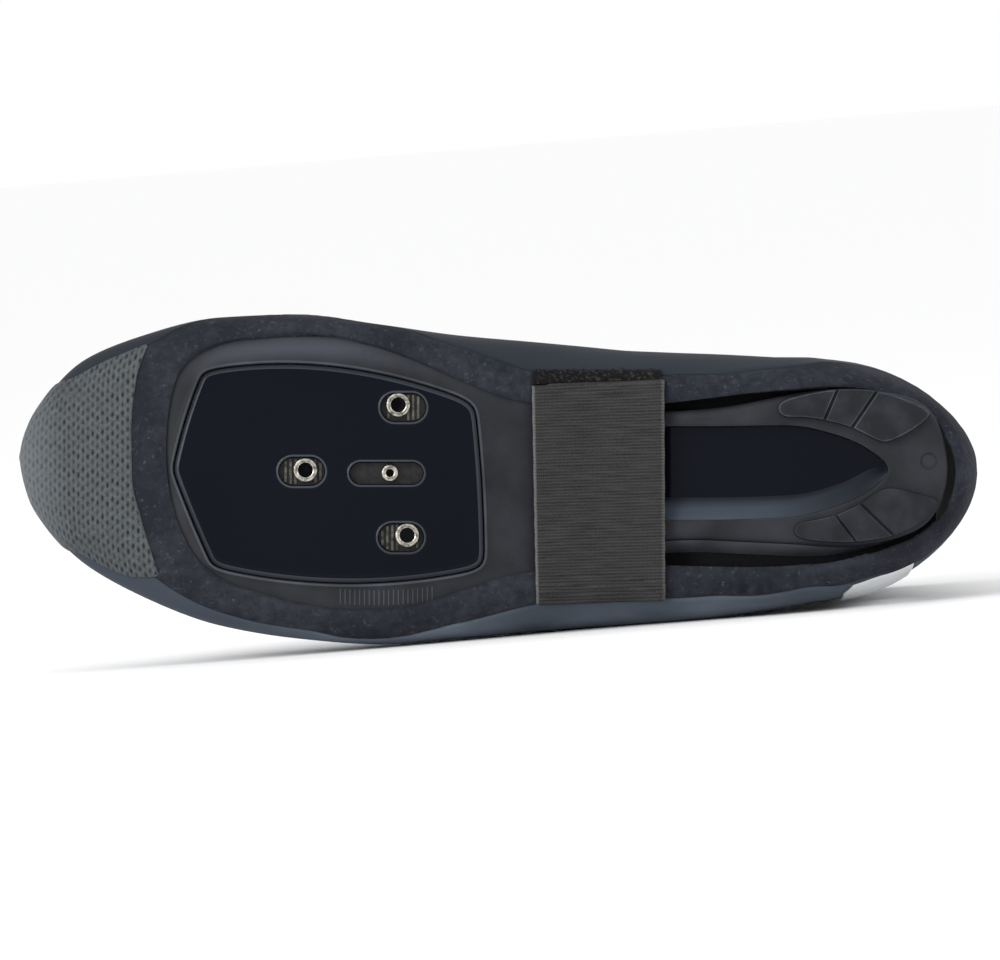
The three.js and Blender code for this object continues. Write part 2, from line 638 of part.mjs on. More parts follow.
const cleatX = CLEAT_ALONG * LENGTH;
const cleatY = CLEAT_ACROSS * HALF_BALL;
const slotPlaces = [
  ['insert_front', cleatX, cleatY],
  ['insert_rear_medial', cleatX + BOLT_ALONG - BOLT_SKEW / 2, cleatY - BOLT_ACROSS / 2],
  ['insert_rear_lateral', cleatX + BOLT_ALONG + BOLT_SKEW / 2, cleatY + BOLT_ACROSS / 2],
];
const socketX = SOCKET_ALONG * LENGTH;
const socketY = SOCKET_ACROSS * HALF_BALL;

const plateOutline = grow(soleOutline, PLATE_OVERHANG);
let plate = layer(plateBottom, plateTop)
  .intersect(prism(plateOutline, LOW, HIGH))
  .add(solid(onLand(landBlock, landMiddle, 0)).intersect(layer(() => LOW, plateTop)))
  .intersect(insideCover);
for (const [, x, y] of slotPlaces) plate = plate.subtract(slotCutter(x, y, SLOT_LENGTH, SLOT_WIDTH));
plate = plate.subtract(slotCutter(socketX, socketY, CENTRE_SLOT_LENGTH, CENTRE_SLOT_WIDTH));
add('sole_plate', plate, 'solePlate');

for (const [name, x, y] of slotPlaces) add(name, insert(x, y, INSERT_DIAMETER, INSERT_BORE), 'steel');
add('insert_centre', insert(socketX, socketY, CENTRE_INSERT_DIAMETER, CENTRE_INSERT_BORE), 'steel');

// Heel pads, grooved across
const padLayer = layer(ground, (x) => frameBottom(x) - GAP);
const grooves = PAD_GROOVES.map((groove) => {
  const from = new THREE.Vector2(groove.fromAlong * LENGTH, groove.fromAcross * HALF_BALL);
  const to = new THREE.Vector2(groove.toAlong * LENGTH, groove.toAcross * HALF_BALL);
  const side = to.clone().sub(from).normalize().rotateAround(new THREE.Vector2(), Math.PI / 2);
  side.multiplyScalar(PAD_GROOVE_WIDTH / 2);
  const corners = [
    from.clone().sub(side),
    to.clone().sub(side),
    to.clone().add(side),
    from.clone().add(side),
  ];
  return prism(corners, LOW, PAD_GROOVE_DEPTH);
});
for (const [name, rows] of [['heel_pad_medial', MEDIAL_PAD], ['heel_pad_lateral', LATERAL_PAD]]) {
  const block = padLayer.intersect(prism(rows.map((row) => plan(row)), LOW, HIGH));
  add(name, grooves.reduce((pad, groove) => pad.subtract(groove), block), 'heelRubber');
}

// The insole fills the floor of the cover from wall to wall
add(
  'insole',
  layer(insoleBottom, (x) => insoleBottom(x) + INSOLE_THICKNESS).intersect(insideCover),
  'insoleFoam',
);

// Lays the shoe on its lateral side. It touches the floor at three places: the ball of the foot, the
// heel and the hem. The plane through the outermost point of each is found by a few tries, because
// those points move a little as the plane tilts.
const HEEL_START = 0.7 * LENGTH;
const HEEL_TOP = 0.6 * INSTEP_HEIGHT;
const PLANE_TRIES = 8;
function restingPlane(points) {
  const regions = [
    (p) => p.x < LENGTH / 2,
    (p) => p.x > HEEL_START && p.z < HEEL_TOP,
    (p) => p.z > (INSTEP_HEIGHT + COLLAR_HEIGHT) / 2,
  ].map((inside) => points.filter(inside));
  let normal = new THREE.Vector3(0, 1, 0);
  for (let tries = 0; tries < PLANE_TRIES; tries += 1) {
    const touching = regions.map((region) =>
      region.reduce((best, p) => (p.dot(normal) > best.dot(normal) ? p : best)),
    );
    const plane = new THREE.Plane().setFromCoplanarPoints(...touching);
    normal = plane.normal.clone().multiplyScalar(Math.sign(plane.normal.y));
  }
  return normal;
}
const corners = standing.children.flatMap(({ geometry }) => {
  const { position } = geometry.attributes;
  return Array.from({ length: position.count }, (_, i) =>
    new THREE.Vector3().fromBufferAttribute(position, i),
  );
});
const up = restingPlane(corners).negate();
const lengthwise = new THREE.Vector3(1, 0, 0).projectOnPlane(up).normalize();
const depthwise = new THREE.Vector3().crossVectors(up, lengthwise);
const turn = new THREE.Matrix4().makeBasis(lengthwise, depthwise, up).transpose();
standing.quaternion.setFromRotationMatrix(turn);
const box = new THREE.Box3().setFromPoints(corners.map((p) => p.clone().applyMatrix4(turn)));
const middle = box.getCenter(new THREE.Vector3());
standing.position.set(-middle.x, -middle.y, -box.min.z);

const overshoe = new THREE.Group();
overshoe.add(standing);

export default overshoe;
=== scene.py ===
"""A cycling overshoe for the right foot, pulled over a road shoe and lying on its side.

Each section below makes one piece or group of like pieces, in the order in which the object goes
together: the cover, what is sewn on it, and the sole of the shoe that shows in its opening.
"""

import bisect
import math
import random

import bmesh
import bpy
from mathutils import Matrix, Quaternion, Vector
from mathutils.bvhtree import BVHTree


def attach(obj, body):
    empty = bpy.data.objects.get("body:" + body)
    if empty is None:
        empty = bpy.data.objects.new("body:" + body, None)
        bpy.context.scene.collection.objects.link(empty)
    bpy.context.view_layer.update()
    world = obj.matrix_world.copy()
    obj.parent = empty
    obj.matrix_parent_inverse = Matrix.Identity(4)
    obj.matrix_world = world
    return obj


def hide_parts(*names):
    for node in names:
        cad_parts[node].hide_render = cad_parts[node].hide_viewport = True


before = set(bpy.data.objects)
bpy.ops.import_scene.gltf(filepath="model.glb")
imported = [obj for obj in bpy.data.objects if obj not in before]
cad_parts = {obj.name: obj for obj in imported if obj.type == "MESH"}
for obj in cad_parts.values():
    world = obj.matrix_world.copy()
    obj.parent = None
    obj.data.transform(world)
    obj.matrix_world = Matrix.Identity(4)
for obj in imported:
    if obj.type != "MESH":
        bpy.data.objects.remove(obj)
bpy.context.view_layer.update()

# Where everything lies
# The pieces are shaped standing, in millimetres: x runs from the toe to the heel, y to the lateral side
# and z up from the ground. This lays them on the lateral side, in metres, where the solids are.
LAID_TURN = Quaternion((0.6966959332, -0.7161594725, 0.0290062047, 0.0298165487))
LAID_PLACE = Vector((-144.19356806, -82.89872645, 59.96501233))
METRES = 0.001
laid = Matrix.Scale(METRES, 4) @ Matrix.Translation(LAID_PLACE) @ LAID_TURN.to_matrix().to_4x4()

# Camera
# It looks straight at the sole from far off, rolled as the photograph is, with the toe on the left.
PHOTO_WIDTH = 302.08  # millimetres of the sole across the whole picture
PHOTO_MIDDLE = Vector((145.2, 0, 5))
CAMERA_DISTANCE = 5000
camera_data = bpy.data.cameras.new("camera")
camera_data.lens = camera_data.sensor_width * CAMERA_DISTANCE / PHOTO_WIDTH
camera = bpy.data.objects.new("camera", camera_data)
bpy.context.collection.objects.link(camera)
from_below = Matrix(((1, 0, 0), (0, -1, 0), (0, 0, -1)))  # columns: right, up and back when standing
camera.matrix_world = Matrix.LocRotScale(
    laid @ (PHOTO_MIDDLE - Vector((0, 0, CAMERA_DISTANCE))),
    LAID_TURN @ from_below.to_quaternion(),
    None,
)
bpy.context.scene.camera = camera


# Room
# A plain pale floor under an even white sky, as in a studio tent, with one large soft light from the
# upper left and a weaker one from the right. Standard colours keep the white floor white.
def linear(hex_colour):
    """The linear colour of an sRGB hex value."""
    channels = [int(hex_colour[i : i + 2], 16) / 255 for i in (1, 3, 5)]
    return (*[c / 12.92 if c <= 0.04045 else ((c + 0.055) / 1.055) ** 2.4 for c in channels], 1)


def set_inputs(tree, node, inputs):
    """Sets a node's inputs. One that is given another node, or an output of one, is linked to it."""
    for socket, value in inputs.items():
        if isinstance(value, bpy.types.Node):
            value = value.outputs[0]
        if isinstance(value, bpy.types.NodeSocket):
            tree.links.new(value, node.inputs[socket])
        else:
            node.inputs[socket].default_value = value


def add_node(tree, kind, inputs=None, stops=(), **settings):
    """Adds a node with its settings and links. A colour ramp's stops are places and hex colours."""
    node = tree.nodes.new("ShaderNode" + kind)
    for name, value in settings.items():
        setattr(node, name, value)
    set_inputs(tree, node, inputs or {})
    for i, (place, colour) in enumerate(stops):
        elements = node.color_ramp.elements
        if 0 < i < len(stops) - 1:
            stop = elements.new(place)
        else:
            stop = elements[-1 if i else 0]
        stop.position = place
        stop.color = linear(colour)
    return node


def new_material(name, coordinates="Object", **sockets):
    """A material named for what it is, with its even values on the shader's own sockets.

    It comes with its node tree, its shader and the place that its patterns follow.
    """
    made = bpy.data.materials.new(name)
    made.use_nodes = True
    shader = made.node_tree.nodes["Principled BSDF"]
    for socket, value in sockets.items():
        shader.inputs[socket.replace("_", " ")].default_value = value
    place = add_node(made.node_tree, "TexCoord").outputs[coordinates]
    return made, made.node_tree, shader, place


def add_light(name, size, power, place, aim):
    """A round soft light that faces a point."""
    data = bpy.data.lights.new(name, "AREA")
    data.shape = "DISK"
    data.size = size
    data.energy = power
    light = bpy.data.objects.new(name, data)
    light.location = place
    light.rotation_euler = (Vector(aim) - Vector(place)).to_track_quat("-Z", "Y").to_euler()
    bpy.context.collection.objects.link(light)


OBJECT_MIDDLE = (0, -0.04, 0.05)
add_light("key_light", 1.2, 25, (-1.3, -1.5, 0.85), OBJECT_MIDDLE)
add_light("side_light", 1.0, 5, (1.6, -0.9, 0.9), OBJECT_MIDDLE)
sky = bpy.data.worlds.new("sky")
sky.use_nodes = True
sky.node_tree.nodes["Background"].inputs["Color"].default_value = (1, 1, 1, 1)
sky.node_tree.nodes["Background"].inputs["Strength"].default_value = 1.0
bpy.context.scene.world = sky
bpy.context.scene.view_settings.view_transform = "Standard"

FLOOR_SIZE = 40
FLOOR_GRAIN = 400  # a cycle of 2.5 mm, faint
floor_paint, tree, shader, place = new_material(
    "pale matt floor paint", Roughness=0.9, Specular_IOR_Level=0.1,
)
grain = add_node(tree, "TexNoise", {"Vector": place, "Scale": FLOOR_GRAIN})
tone = add_node(tree, "ValToRGB", {"Fac": grain}, stops=((0, "#fafafb"), (1, "#fdfdfd")))
set_inputs(tree, shader, {"Base Color": tone})
bm = bmesh.new()
bmesh.ops.create_grid(bm, x_segments=1, y_segments=1, size=FLOOR_SIZE / 2)
floor_mesh = bpy.data.meshes.new("floor")
bm.to_mesh(floor_mesh)
bm.free()
floor_mesh.materials.append(floor_paint)
floor = bpy.data.objects.new("floor", floor_mesh)
bpy.context.collection.objects.link(floor)


# Form of the cover
# The smooth closed surface that the fitted cover takes: ribs from the toe tip round the heel to the
# ankle. Nothing of it shows itself; the soft pieces are laid on it.
LENGTH = 290
HALF_BALL = 49.5
INSTEP_HEIGHT = 100
COLLAR_HEIGHT = 166
TOE_SPRING = 18
ARCH_RISE = 6
SPRING_START = 0.27
SPRING_EXPONENT = 2.5
ARCH_START = 0.45
ARCH_END = 0.8
CORNER_FULLNESS = 0.45
CORNER_STEPS = 14
SIDE_STEPS = 44
RIB_COLUMNS = ("low", "rise", "top", "level", "lateral", "medial",
               "apex", "wide", "crown", "edge_lateral", "edge_medial", "bend")
RIBS = (
    (0.0, 0.055, 0.0, 0.235, -0.139, 0.141, -0.14, 0.4, 2.0, 0.8, 0.8, 0.7),
    (0.004, 0.012, 0.004, 0.28, -0.01, 0.25, -0.14, 0.45, 2.1, 0.8, 0.8, 0.68),
    (0.011, 0.004, 0.011, 0.33, 0.127, 0.36, -0.14, 0.44, 2.15, 0.82, 0.84, 0.64),
    (0.027, 0.0, 0.027, 0.395, 0.28, 0.507, -0.13, 0.4, 2.2, 0.85, 0.88, 0.58),
    (0.0625, 0.0, 0.0625, 0.47, 0.495, 0.72, -0.11, 0.32, 2.3, 0.88, 0.92, 0.45),
    (0.125, 0.0, 0.125, 0.55, 0.707, 0.879, -0.08, 0.27, 2.3, 0.92, 0.96, 0.3),
    (0.208, 0.0, 0.208, 0.61, 0.89, 0.994, -0.05, 0.25, 2.3, 0.94, 0.99, 0.2),
    (0.29, 0.0, 0.29, 0.66, 0.97, 1.012, -0.04, 0.23, 2.25, 0.95, 1.0, 0.16),
    (0.375, 0.0, 0.375, 0.715, 1.006, 0.952, -0.04, 0.225, 2.2, 0.95, 1.0, 0.15),
    (0.458, 0.0, 0.458, 0.78, 0.97, 0.885, -0.03, 0.25, 2.2, 0.9, 0.92, 0.15),
    (0.54, 0.0, 0.525, 0.87, 0.93, 0.846, -0.02, 0.27, 2.2, 0.82, 0.79, 0.15),
    (0.6, 0.0, 0.548, 0.915, 0.91, 0.82, -0.01, 0.28, 2.2, 0.82, 0.79, 0.15),
    (0.68, 0.0, 0.565, 0.955, 0.883, 0.786, 0.0, 0.27, 2.2, 0.83, 0.82, 0.15),
    (0.77, 0.0, 0.578, 1.0, 0.84, 0.768, 0.0, 0.25, 2.2, 0.85, 0.86, 0.16),
    (0.86, 0.0, 0.588, 1.07, 0.78, 0.754, 0.0, 0.25, 2.2, 0.8, 0.91, 0.22),
    (0.938, 0.0, 0.597, 1.15, 0.745, 0.745, -0.01, 0.32, 2.2, 0.55, 0.72, 0.32),
    (0.976, 0.03, 0.604, 1.22, 0.735, 0.74, -0.03, 0.37, 2.2, 0.46, 0.57, 0.42),
    (0.994, 0.14, 0.611, 1.29, 0.73, 0.738, -0.04, 0.4, 2.2, 0.42, 0.48, 0.4),
    (1.0, 0.32, 0.618, 1.37, 0.73, 0.735, -0.04, 0.43, 2.2, 0.42, 0.46, 0.4),
    (0.994, 0.52, 0.626, 1.46, 0.73, 0.732, -0.04, 0.45, 2.2, 0.44, 0.47, 0.42),
    (0.98, 0.78, 0.634, 1.56, 0.742, 0.725, -0.02, 0.47, 2.2, 0.52, 0.54, 0.48),
    (0.968, 1.08, 0.642, 1.68, 0.726, 0.708, 0.0, 0.47, 2.2, 0.58, 0.58, 0.5),
    (0.958, 1.45, 0.65, 1.82, 0.71, 0.692, 0.0, 0.47, 2.2, 0.62, 0.62, 0.52),
    (0.955, 2.0, 0.658, 2.0, 0.697, 0.677, 0.0, 0.47, 2.2, 0.64, 0.64, 0.52),
)
TOP_RIB = len(RIBS) - 1


def smooth_curve(knots, values):
    """A curve through the values that never overshoots them."""
    spans = [b - a for a, b in zip(knots, knots[1:])]
    slopes = [(b - a) / span for a, b, span in zip(values, values[1:], spans)]
    inner = [0 if a * b <= 0 else 2 * a * b / (a + b) for a, b in zip(slopes, slopes[1:])]
    tangents = [slopes[0], *inner, slopes[-1]]

    def value_at(key):
        i = min(max(bisect.bisect_right(knots, key) - 1, 0), len(spans) - 1)
        t = min(max((key - knots[i]) / spans[i], 0), 1)
        return (
            (1 + 2 * t) * (1 - t) ** 2 * values[i]
            + t * (1 - t) ** 2 * spans[i] * tangents[i]
            + t * t * (3 - 2 * t) * values[i + 1]
            - t * t * (1 - t) * spans[i] * tangents[i + 1]
        )

    return value_at


rib_curves = {
    name: smooth_curve(range(len(RIBS)), [row[i] for row in RIBS]) for i, name in enumerate(RIB_COLUMNS)
}


def ground(x):
    """Height of the line that the underside follows."""
    along = x / LENGTH
    if along < SPRING_START:
        return TOE_SPRING * (1 - max(along, 0) / SPRING_START) ** SPRING_EXPONENT
    arch = min(max((along - ARCH_START) / (ARCH_END - ARCH_START), 0), 1)
    return ARCH_RISE * math.sin(math.pi * arch) ** 2


def level_height(level):
    return min(level, 1) * INSTEP_HEIGHT + max(level - 1, 0) * (COLLAR_HEIGHT - INSTEP_HEIGHT)


def rib_half(place, side):
    """Close points of one half of a rib, from under the foot round its side to the top."""
    rib = {name: curve(place) for name, curve in rib_curves.items()}
    low_x = rib["low"] * LENGTH
    low_z = level_height(rib["rise"]) + (ground(low_x) if rib["rise"] < 1 else 0)
    top_x = rib["top"] * LENGTH
    top_z = level_height(rib["level"])
    middle = rib["apex"] * HALF_BALL
    span = side * (rib["lateral"] if side > 0 else rib["medial"]) * HALF_BALL - middle
    edge = rib["edge_lateral"] if side > 0 else rib["edge_medial"]
    wide = rib["wide"]
    corner = [
        Vector((middle + span * (edge - rib["bend"]), 0)),
        Vector((middle + span * edge, 0)),
        Vector((middle + span, CORNER_FULLNESS * wide)),
        Vector((middle + span, wide)),
    ]
    outline = [Vector((middle, 0))]
    for i in range(CORNER_STEPS):
        t = i / CORNER_STEPS
        weights = ((1 - t) ** 3, 3 * t * (1 - t) ** 2, 3 * t * t * (1 - t), t**3)
        outline.append(sum((p * w for p, w in zip(corner, weights)), Vector((0, 0))))
    for i in range(SIDE_STEPS + 1):
        angle = i / SIDE_STEPS * math.pi / 2
        across = max(math.cos(angle), 0) ** (2 / rib["crown"])
        up = math.sin(angle) ** (2 / rib["crown"])
        outline.append(Vector((middle + span * across, wide + (1 - wide) * up)))
    return [
        Vector((low_x + (top_x - low_x) * p.y, p.x, low_z + (top_z - low_z) * p.y)) for p in outline
    ]


def lengths_along(points):
    run = [0.0]
    for a, b in zip(points, points[1:]):
        run.append(run[-1] + (b - a).length)
    return run


def point_along(points, run, distance):
    """The point of a line at a distance along it."""
    i = min(max(bisect.bisect_right(run, distance) - 1, 0), len(points) - 2)
    step = run[i + 1] - run[i]
    return points[i].lerp(points[i + 1], min(max((distance - run[i]) / step, 0), 1) if step else 0)


def spread(points, count, start=0.0, end=1.0):
    """Evenly spaced points along a line, between two shares of its length."""
    run = lengths_along(points)
    shares = [start + (end - start) * i / count for i in range(count + 1)]
    return [point_along(points, run, share * run[-1]) for share in shares]


def grid_through(rows, maps=None, **measures):
    """A grid whose vertices are moved to rows of points, and merged where the points meet.

    maps gives its UV map, in millimetres, and each measure a number for every point.
    """
    across, along = len(rows[0]) - 1, len(rows) - 1
    grid = bmesh.new()
    layer = grid.loops.layers.uv.new("UVMap") if maps else None
    layers = {name: grid.verts.layers.float.new(name) for name in measures}
    bmesh.ops.create_grid(grid, x_segments=across, y_segments=along, size=0.5)
    for vert in grid.verts:
        vert.index = round((vert.co.y + 0.5) * along) * (across + 1) + round((vert.co.x + 0.5) * across)
    if maps:
        for face in grid.faces:
            for loop in face.loops:
                row, column = divmod(loop.vert.index, across + 1)
                loop[layer].uv = maps[row][column]
    for vert in grid.verts:
        row, column = divmod(vert.index, across + 1)
        vert.co = rows[row][column]
        for name, values in measures.items():
            vert[layers[name]] = values[row][column]
    bmesh.ops.remove_doubles(grid, verts=grid.verts, dist=1e-4)
    bmesh.ops.recalc_face_normals(grid, faces=grid.faces)
    return grid


FORM_ROWS = 190
FORM_HALF = 60
form_rows = []
for i in range(FORM_ROWS + 1):
    halves = [spread(rib_half(i / FORM_ROWS * TOP_RIB, side), FORM_HALF) for side in (1, -1)]
    form_rows.append(halves[0] + halves[1][-2::-1])
form_rows.insert(0, [sum(form_rows[0], Vector()) / len(form_rows[0])] * len(form_rows[0]))
bm = grid_through(form_rows)
form = BVHTree.FromBMesh(bm)
bm.free()


# The side of the form that is its outside, tried under the sole
_, test_normal, _, _ = form.find_nearest(Vector((LENGTH / 2, 0, -50)))
OUTWARD = 1 if test_normal.z < 0 else -1


def on_form(point, lift=0.0):
    """The nearest point of the form, raised off it by a distance."""
    place, normal, _, _ = form.find_nearest(point)
    return place + normal * OUTWARD * lift


# Side panels
# The cover's sides, instep and ankle: one sheet of 2.2 mm neoprene with a smooth coated face and a
# knitted lining, cut in two halves that meet in seams along the instep and up the heel.
WALL = 2.2
SEAM_GAP = 0.15
SEAM_ALONG = (0.0, 0.07, 0.144, 0.2, 0.26, 0.295, 0.345, 0.387, 0.458,
              0.533, 0.605, 0.674, 0.744, 0.813, 0.868, 0.92, 1.0)
SEAM_LATERAL = (0.2, 0.09, 0.036, 0.031, 0.031, 0.034, 0.06, 0.056, 0.039,
                0.059, 0.089, 0.077, 0.042, 0.038, 0.08, 0.15, 0.3)
SEAM_MEDIAL = (0.2, 0.1, 0.057, 0.098, 0.11, 0.11, 0.1, 0.085, 0.036,
               0.05, 0.089, 0.08, 0.05, 0.07, 0.18, 0.27, 0.3)
seam_curves = {1: smooth_curve(SEAM_ALONG, SEAM_LATERAL), -1: smooth_curve(SEAM_ALONG, SEAM_MEDIAL)}


def above_seam(point, side):
    return point.z - seam_curves[side](point.x / LENGTH) * INSTEP_HEIGHT


def seam_share(half, side, margin=0.0):
    """How far up half a rib, as a share of its length, the seam crosses it. None if it is all above."""
    run = lengths_along(half)
    if above_seam(half[0], side) >= margin:
        return None
    for i in range(len(half) - 1):
        before, after = above_seam(half[i], side) - margin, above_seam(half[i + 1], side) - margin
        if before < 0 <= after:
            return (run[i] + (run[i + 1] - run[i]) * before / (before - after)) / run[-1]
    return None


def closing_place(start, end):
    """The place between two ribs where the seam meets under the middle of the foot."""
    for _ in range(30):
        half_way = (start + end) / 2
        if above_seam(rib_half(half_way, 1)[0], 1) > 0:
            end = half_way
        else:
            start = half_way
    return end


HEEL_CLOSE = closing_place(15, 18)
COVER_ROWS = 200
COVER_HALF = 62
even = [i / COVER_ROWS * TOP_RIB for i in range(COVER_ROWS + 1)]
near_close = [HEEL_CLOSE - 0.02 * k * k for k in range(6)]
cover_places = sorted([p for p in even if all(abs(p - q) > 0.03 for q in near_close)] + near_close)

# Soft folds of the fitted cover: each a line of points, its depth and its half width. The fabric sinks
# along the line and swells beside it. Most are where the ankle bends and where the toe box ends.
FOLDS = (
    (((146, -38, 58), (158, -22, 84), (163, 0, 92), (158, 24, 83), (148, 38, 58)), 1.5, 5),
    (((166, -34, 80), (170, -15, 100), (172, 4, 104), (168, 26, 90), (160, 40, 70)), 1.3, 4.5),
    (((184, -38, 84), (178, -20, 106), (178, 4, 113), (180, 24, 100), (190, 36, 84)), 1.0, 4.5),
    (((120, 40, 52), (112, 22, 70), (108, 0, 74)), 0.8, 5),
    (((122, -40, 54), (116, -24, 70), (110, -4, 74)), 0.7, 5),
    (((262, -30, 62), (272, -12, 70), (276, 6, 72), (268, 26, 64)), 1.0, 4.5),
    (((258, -32, 84), (268, -14, 90), (272, 4, 92), (262, 27, 82)), 0.9, 5),
    (((240, 38, 22), (222, 41, 30), (205, 41, 34)), 0.5, 5),
    (((230, -38, 24), (212, -40, 32), (196, -40, 38)), 0.5, 5),
    (((66, 34, 34), (60, 16, 50), (58, -6, 54)), 0.5, 5),
)
FOLD_REACH = 110  # no fold is longer
SWELL_PLACE = 1.7  # half widths from the line to the swelling beside it
SWELL_SHARE = 0.45
fold_lines = [([Vector(p) for p in points], depth, width) for points, depth, width in FOLDS]


def nearest_on_line(point, line):
    """Distance from a point to a line of points."""
    best = 1e9
    for a, b in zip(line, line[1:]):
        along = b - a
        t = min(max((point - a).dot(along) / along.length_squared, 0), 1)
        best = min(best, (a + along * t - point).length)
    return best


def fold_depth(point):
    """How far the folds move a point of the cover: below zero in a trough, above it on a ridge."""
    depth = 0.0
    for line, deep, width in fold_lines:
        if (line[0] - point).length > FOLD_REACH:
            continue
        share = nearest_on_line(point, line) / width
        if share < 3:
            swell = SWELL_SHARE * math.exp(-((share - SWELL_PLACE) ** 2))
            depth += deep * (swell - math.exp(-share * share))
    return depth


def settle(points):
    """The points of a row of the cover with the folds pressed in."""
    moved = []
    for point in points:
        depth = fold_depth(point)
        moved.append(on_form(point, depth) if abs(depth) > 0.02 else point)
    return moved


cover_rows = []
seam_points = {1: [], -1: []}
for place in cover_places:
    halves = {side: rib_half(place, side) for side in (1, -1)}
    shares = {side: seam_share(halves[side], side, SEAM_GAP) or 0.0 for side in (1, -1)}
    if place >= HEEL_CLOSE or shares[1] == 0 or shares[-1] == 0:
        shares = {1: 0.0, -1: 0.0}
    lateral = spread(halves[1], COVER_HALF, shares[1])
    medial = spread(halves[-1], COVER_HALF, shares[-1])
    row = lateral + medial[-2::-1]
    cover_rows.append(settle(row))
    if shares[1] > 0:
        seam_points[1].append(lateral[0])
        seam_points[-1].append(medial[0])
tip = cover_rows[0]
cover_rows.insert(0, [sum(tip, Vector()) / len(tip)] * len(tip))


def finish_piece(name, shaped, finish, node_names, sharp=35):
    """Lays a shaped mesh down where the solids are, and makes it a piece of the object."""
    bmesh.ops.transform(shaped, matrix=laid, verts=shaped.verts)
    mesh = bpy.data.meshes.new(name)
    shaped.to_mesh(mesh)
    shaped.free()
    mesh.shade_smooth()
    mesh.set_sharp_from_angle(angle=math.radians(sharp))
    for material in finish if isinstance(finish, list) else [finish]:
        mesh.materials.append(material)
    made = bpy.data.objects.new(name, mesh)
    bpy.context.collection.objects.link(made)
    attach(made, "root")
    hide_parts(*node_names)
    return made


def give_thickness(made, wall, lining=None):
    """Gives a sheet a wall on its inner side, with a lining where there is one."""
    solidify = made.modifiers.new("wall", "SOLIDIFY")
    solidify.thickness = wall * METRES
    solidify.offset = -1
    if lining:
        made.data.materials.append(lining)
        solidify.material_offset = 1


# Coated neoprene: a thin smooth film over foam rubber. The film has a faint pebble of about 0.5 mm and a
# satin sheen. Its tone drifts a little, and by height it runs from near black on the medial side to grey on
# the lateral side: painted shade high up, facing the sky, and painted light low down, in the floor's shadow.
coated_neoprene, tree, shader, place = new_material("coated neoprene", Roughness=0.6, Specular_IOR_Level=0.06)
drift = add_node(tree, "TexNoise", {"Vector": place, "Scale": 28, "Detail": 3})
height = add_node(tree, "SeparateXYZ", {"Vector": place})
level = add_node(tree, "Math", {0: drift, 1: 0.02, 2: height.outputs["Z"]}, operation="MULTIPLY_ADD")
# painted light low down and painted shade high up, by height above the floor, with a little random drift
drift_and_painted_light = add_node(tree, "MapRange", {"Value": level, "From Min": 0.01, "From Max": 0.11})
tone = add_node(
    tree, "ValToRGB", {"Fac": drift_and_painted_light},
    stops=((0, "#646d79"), (0.05, "#4f5761"), (0.12, "#3d444d"), (0.5, "#31373f"), (1, "#23272d")),
)
pebble = add_node(tree, "TexNoise", {"Vector": place, "Scale": 1900, "Detail": 2})
relief = add_node(tree, "Bump", {"Height": pebble, "Strength": 0.25, "Distance": 0.0002})
set_inputs(tree, shader, {"Base Color": tone, "Normal": relief})

# Knitted lining: a matt plain-knit face laminated to the foam, dark, with fine loops of about 1 mm
lining_knit, tree, shader, place = new_material(
    "knitted nylon lining", Roughness=0.9, Specular_IOR_Level=0.15,
)
loops = add_node(tree, "TexVoronoi", {"Vector": place, "Scale": 1000})
tone = add_node(tree, "ValToRGB", {"Fac": loops}, stops=((0, "#151619"), (1, "#08090a")))
relief = add_node(tree, "Bump", {"Height": loops, "Strength": 0.4, "Distance": 0.0003}, invert=True)
set_inputs(tree, shader, {"Base Color": tone, "Normal": relief})

bm = grid_through(cover_rows)
side_panels = finish_piece("side_panels", bm, coated_neoprene, ["upper"])
give_thickness(side_panels, WALL, lining_knit)


# Underfoot panel
# Softer matt fabric under the foot, sewn to the side panels all round, with the opening for the sole
# in it. The opening's edge is rolled over a thin elastic, so it curves in towards the sole.
OPENING = (  # share of the length, then shares of the half width to the lateral and medial sides
    (0.152, -0.128, 0.128), (0.165, 0.27, 0.65), (0.194, 0.537, 0.793), (0.244, 0.677, 0.866),
    (0.334, 0.787, 0.872), (0.412, 0.76, 0.726), (0.508, 0.586, 0.5), (0.605, 0.519, 0.439),
    (0.744, 0.531, 0.519), (0.856, 0.5, 0.575), (0.933, 0.384, 0.519), (0.97, 0.195, 0.281),
    (0.981, -0.055, 0.055),
)
PANEL_POINTS = 420
PANEL_ROLL = 5.0  # how wide the rolled edge is
PANEL_ROLL_DEPTH = 1.5


def plan_loop(rows):
    """The outline in plan of rows that give a place along, and the lateral and medial half widths."""
    there = [Vector((row[0] * LENGTH, row[1] * HALF_BALL, 0)) for row in rows]
    back = [Vector((row[0] * LENGTH, -row[2] * HALF_BALL, 0)) for row in rows[1:-1]]
    return there + back[::-1]


def smooth_loop(points, steps):
    """A closed centripetal spline through the points."""
    count = len(points)
    dense = []
    for i in range(count):
        p = [points[(i + k) % count] for k in (-1, 0, 1, 2)]
        knots = [0.0]
        for a, b in zip(p, p[1:]):
            knots.append(knots[-1] + math.sqrt((b - a).length))
        for j in range(16):
            t = knots[1] + (knots[2] - knots[1]) * j / 16
            level = p
            for span in (1, 2, 3):
                level = [
                    level[k].lerp(level[k + 1], (t - knots[k]) / (knots[k + span] - knots[k]))
                    for k in range(len(level) - 1)
                ]
            dense.append(level[0])
    dense.append(dense[0])
    return spread(dense, steps)[:-1]


def rest_under(point, lift=0.0):
    """The point of the form straight above a place in plan, lowered off it by a distance."""
    hit, normal, _, _ = form.ray_cast(Vector((point.x, point.y, -60)), Vector((0, 0, 1)))
    if hit is None:
        return on_form(Vector((point.x, point.y, ground(point.x))), lift)
    if normal.z > 0:
        normal = -normal
    return hit + normal * lift


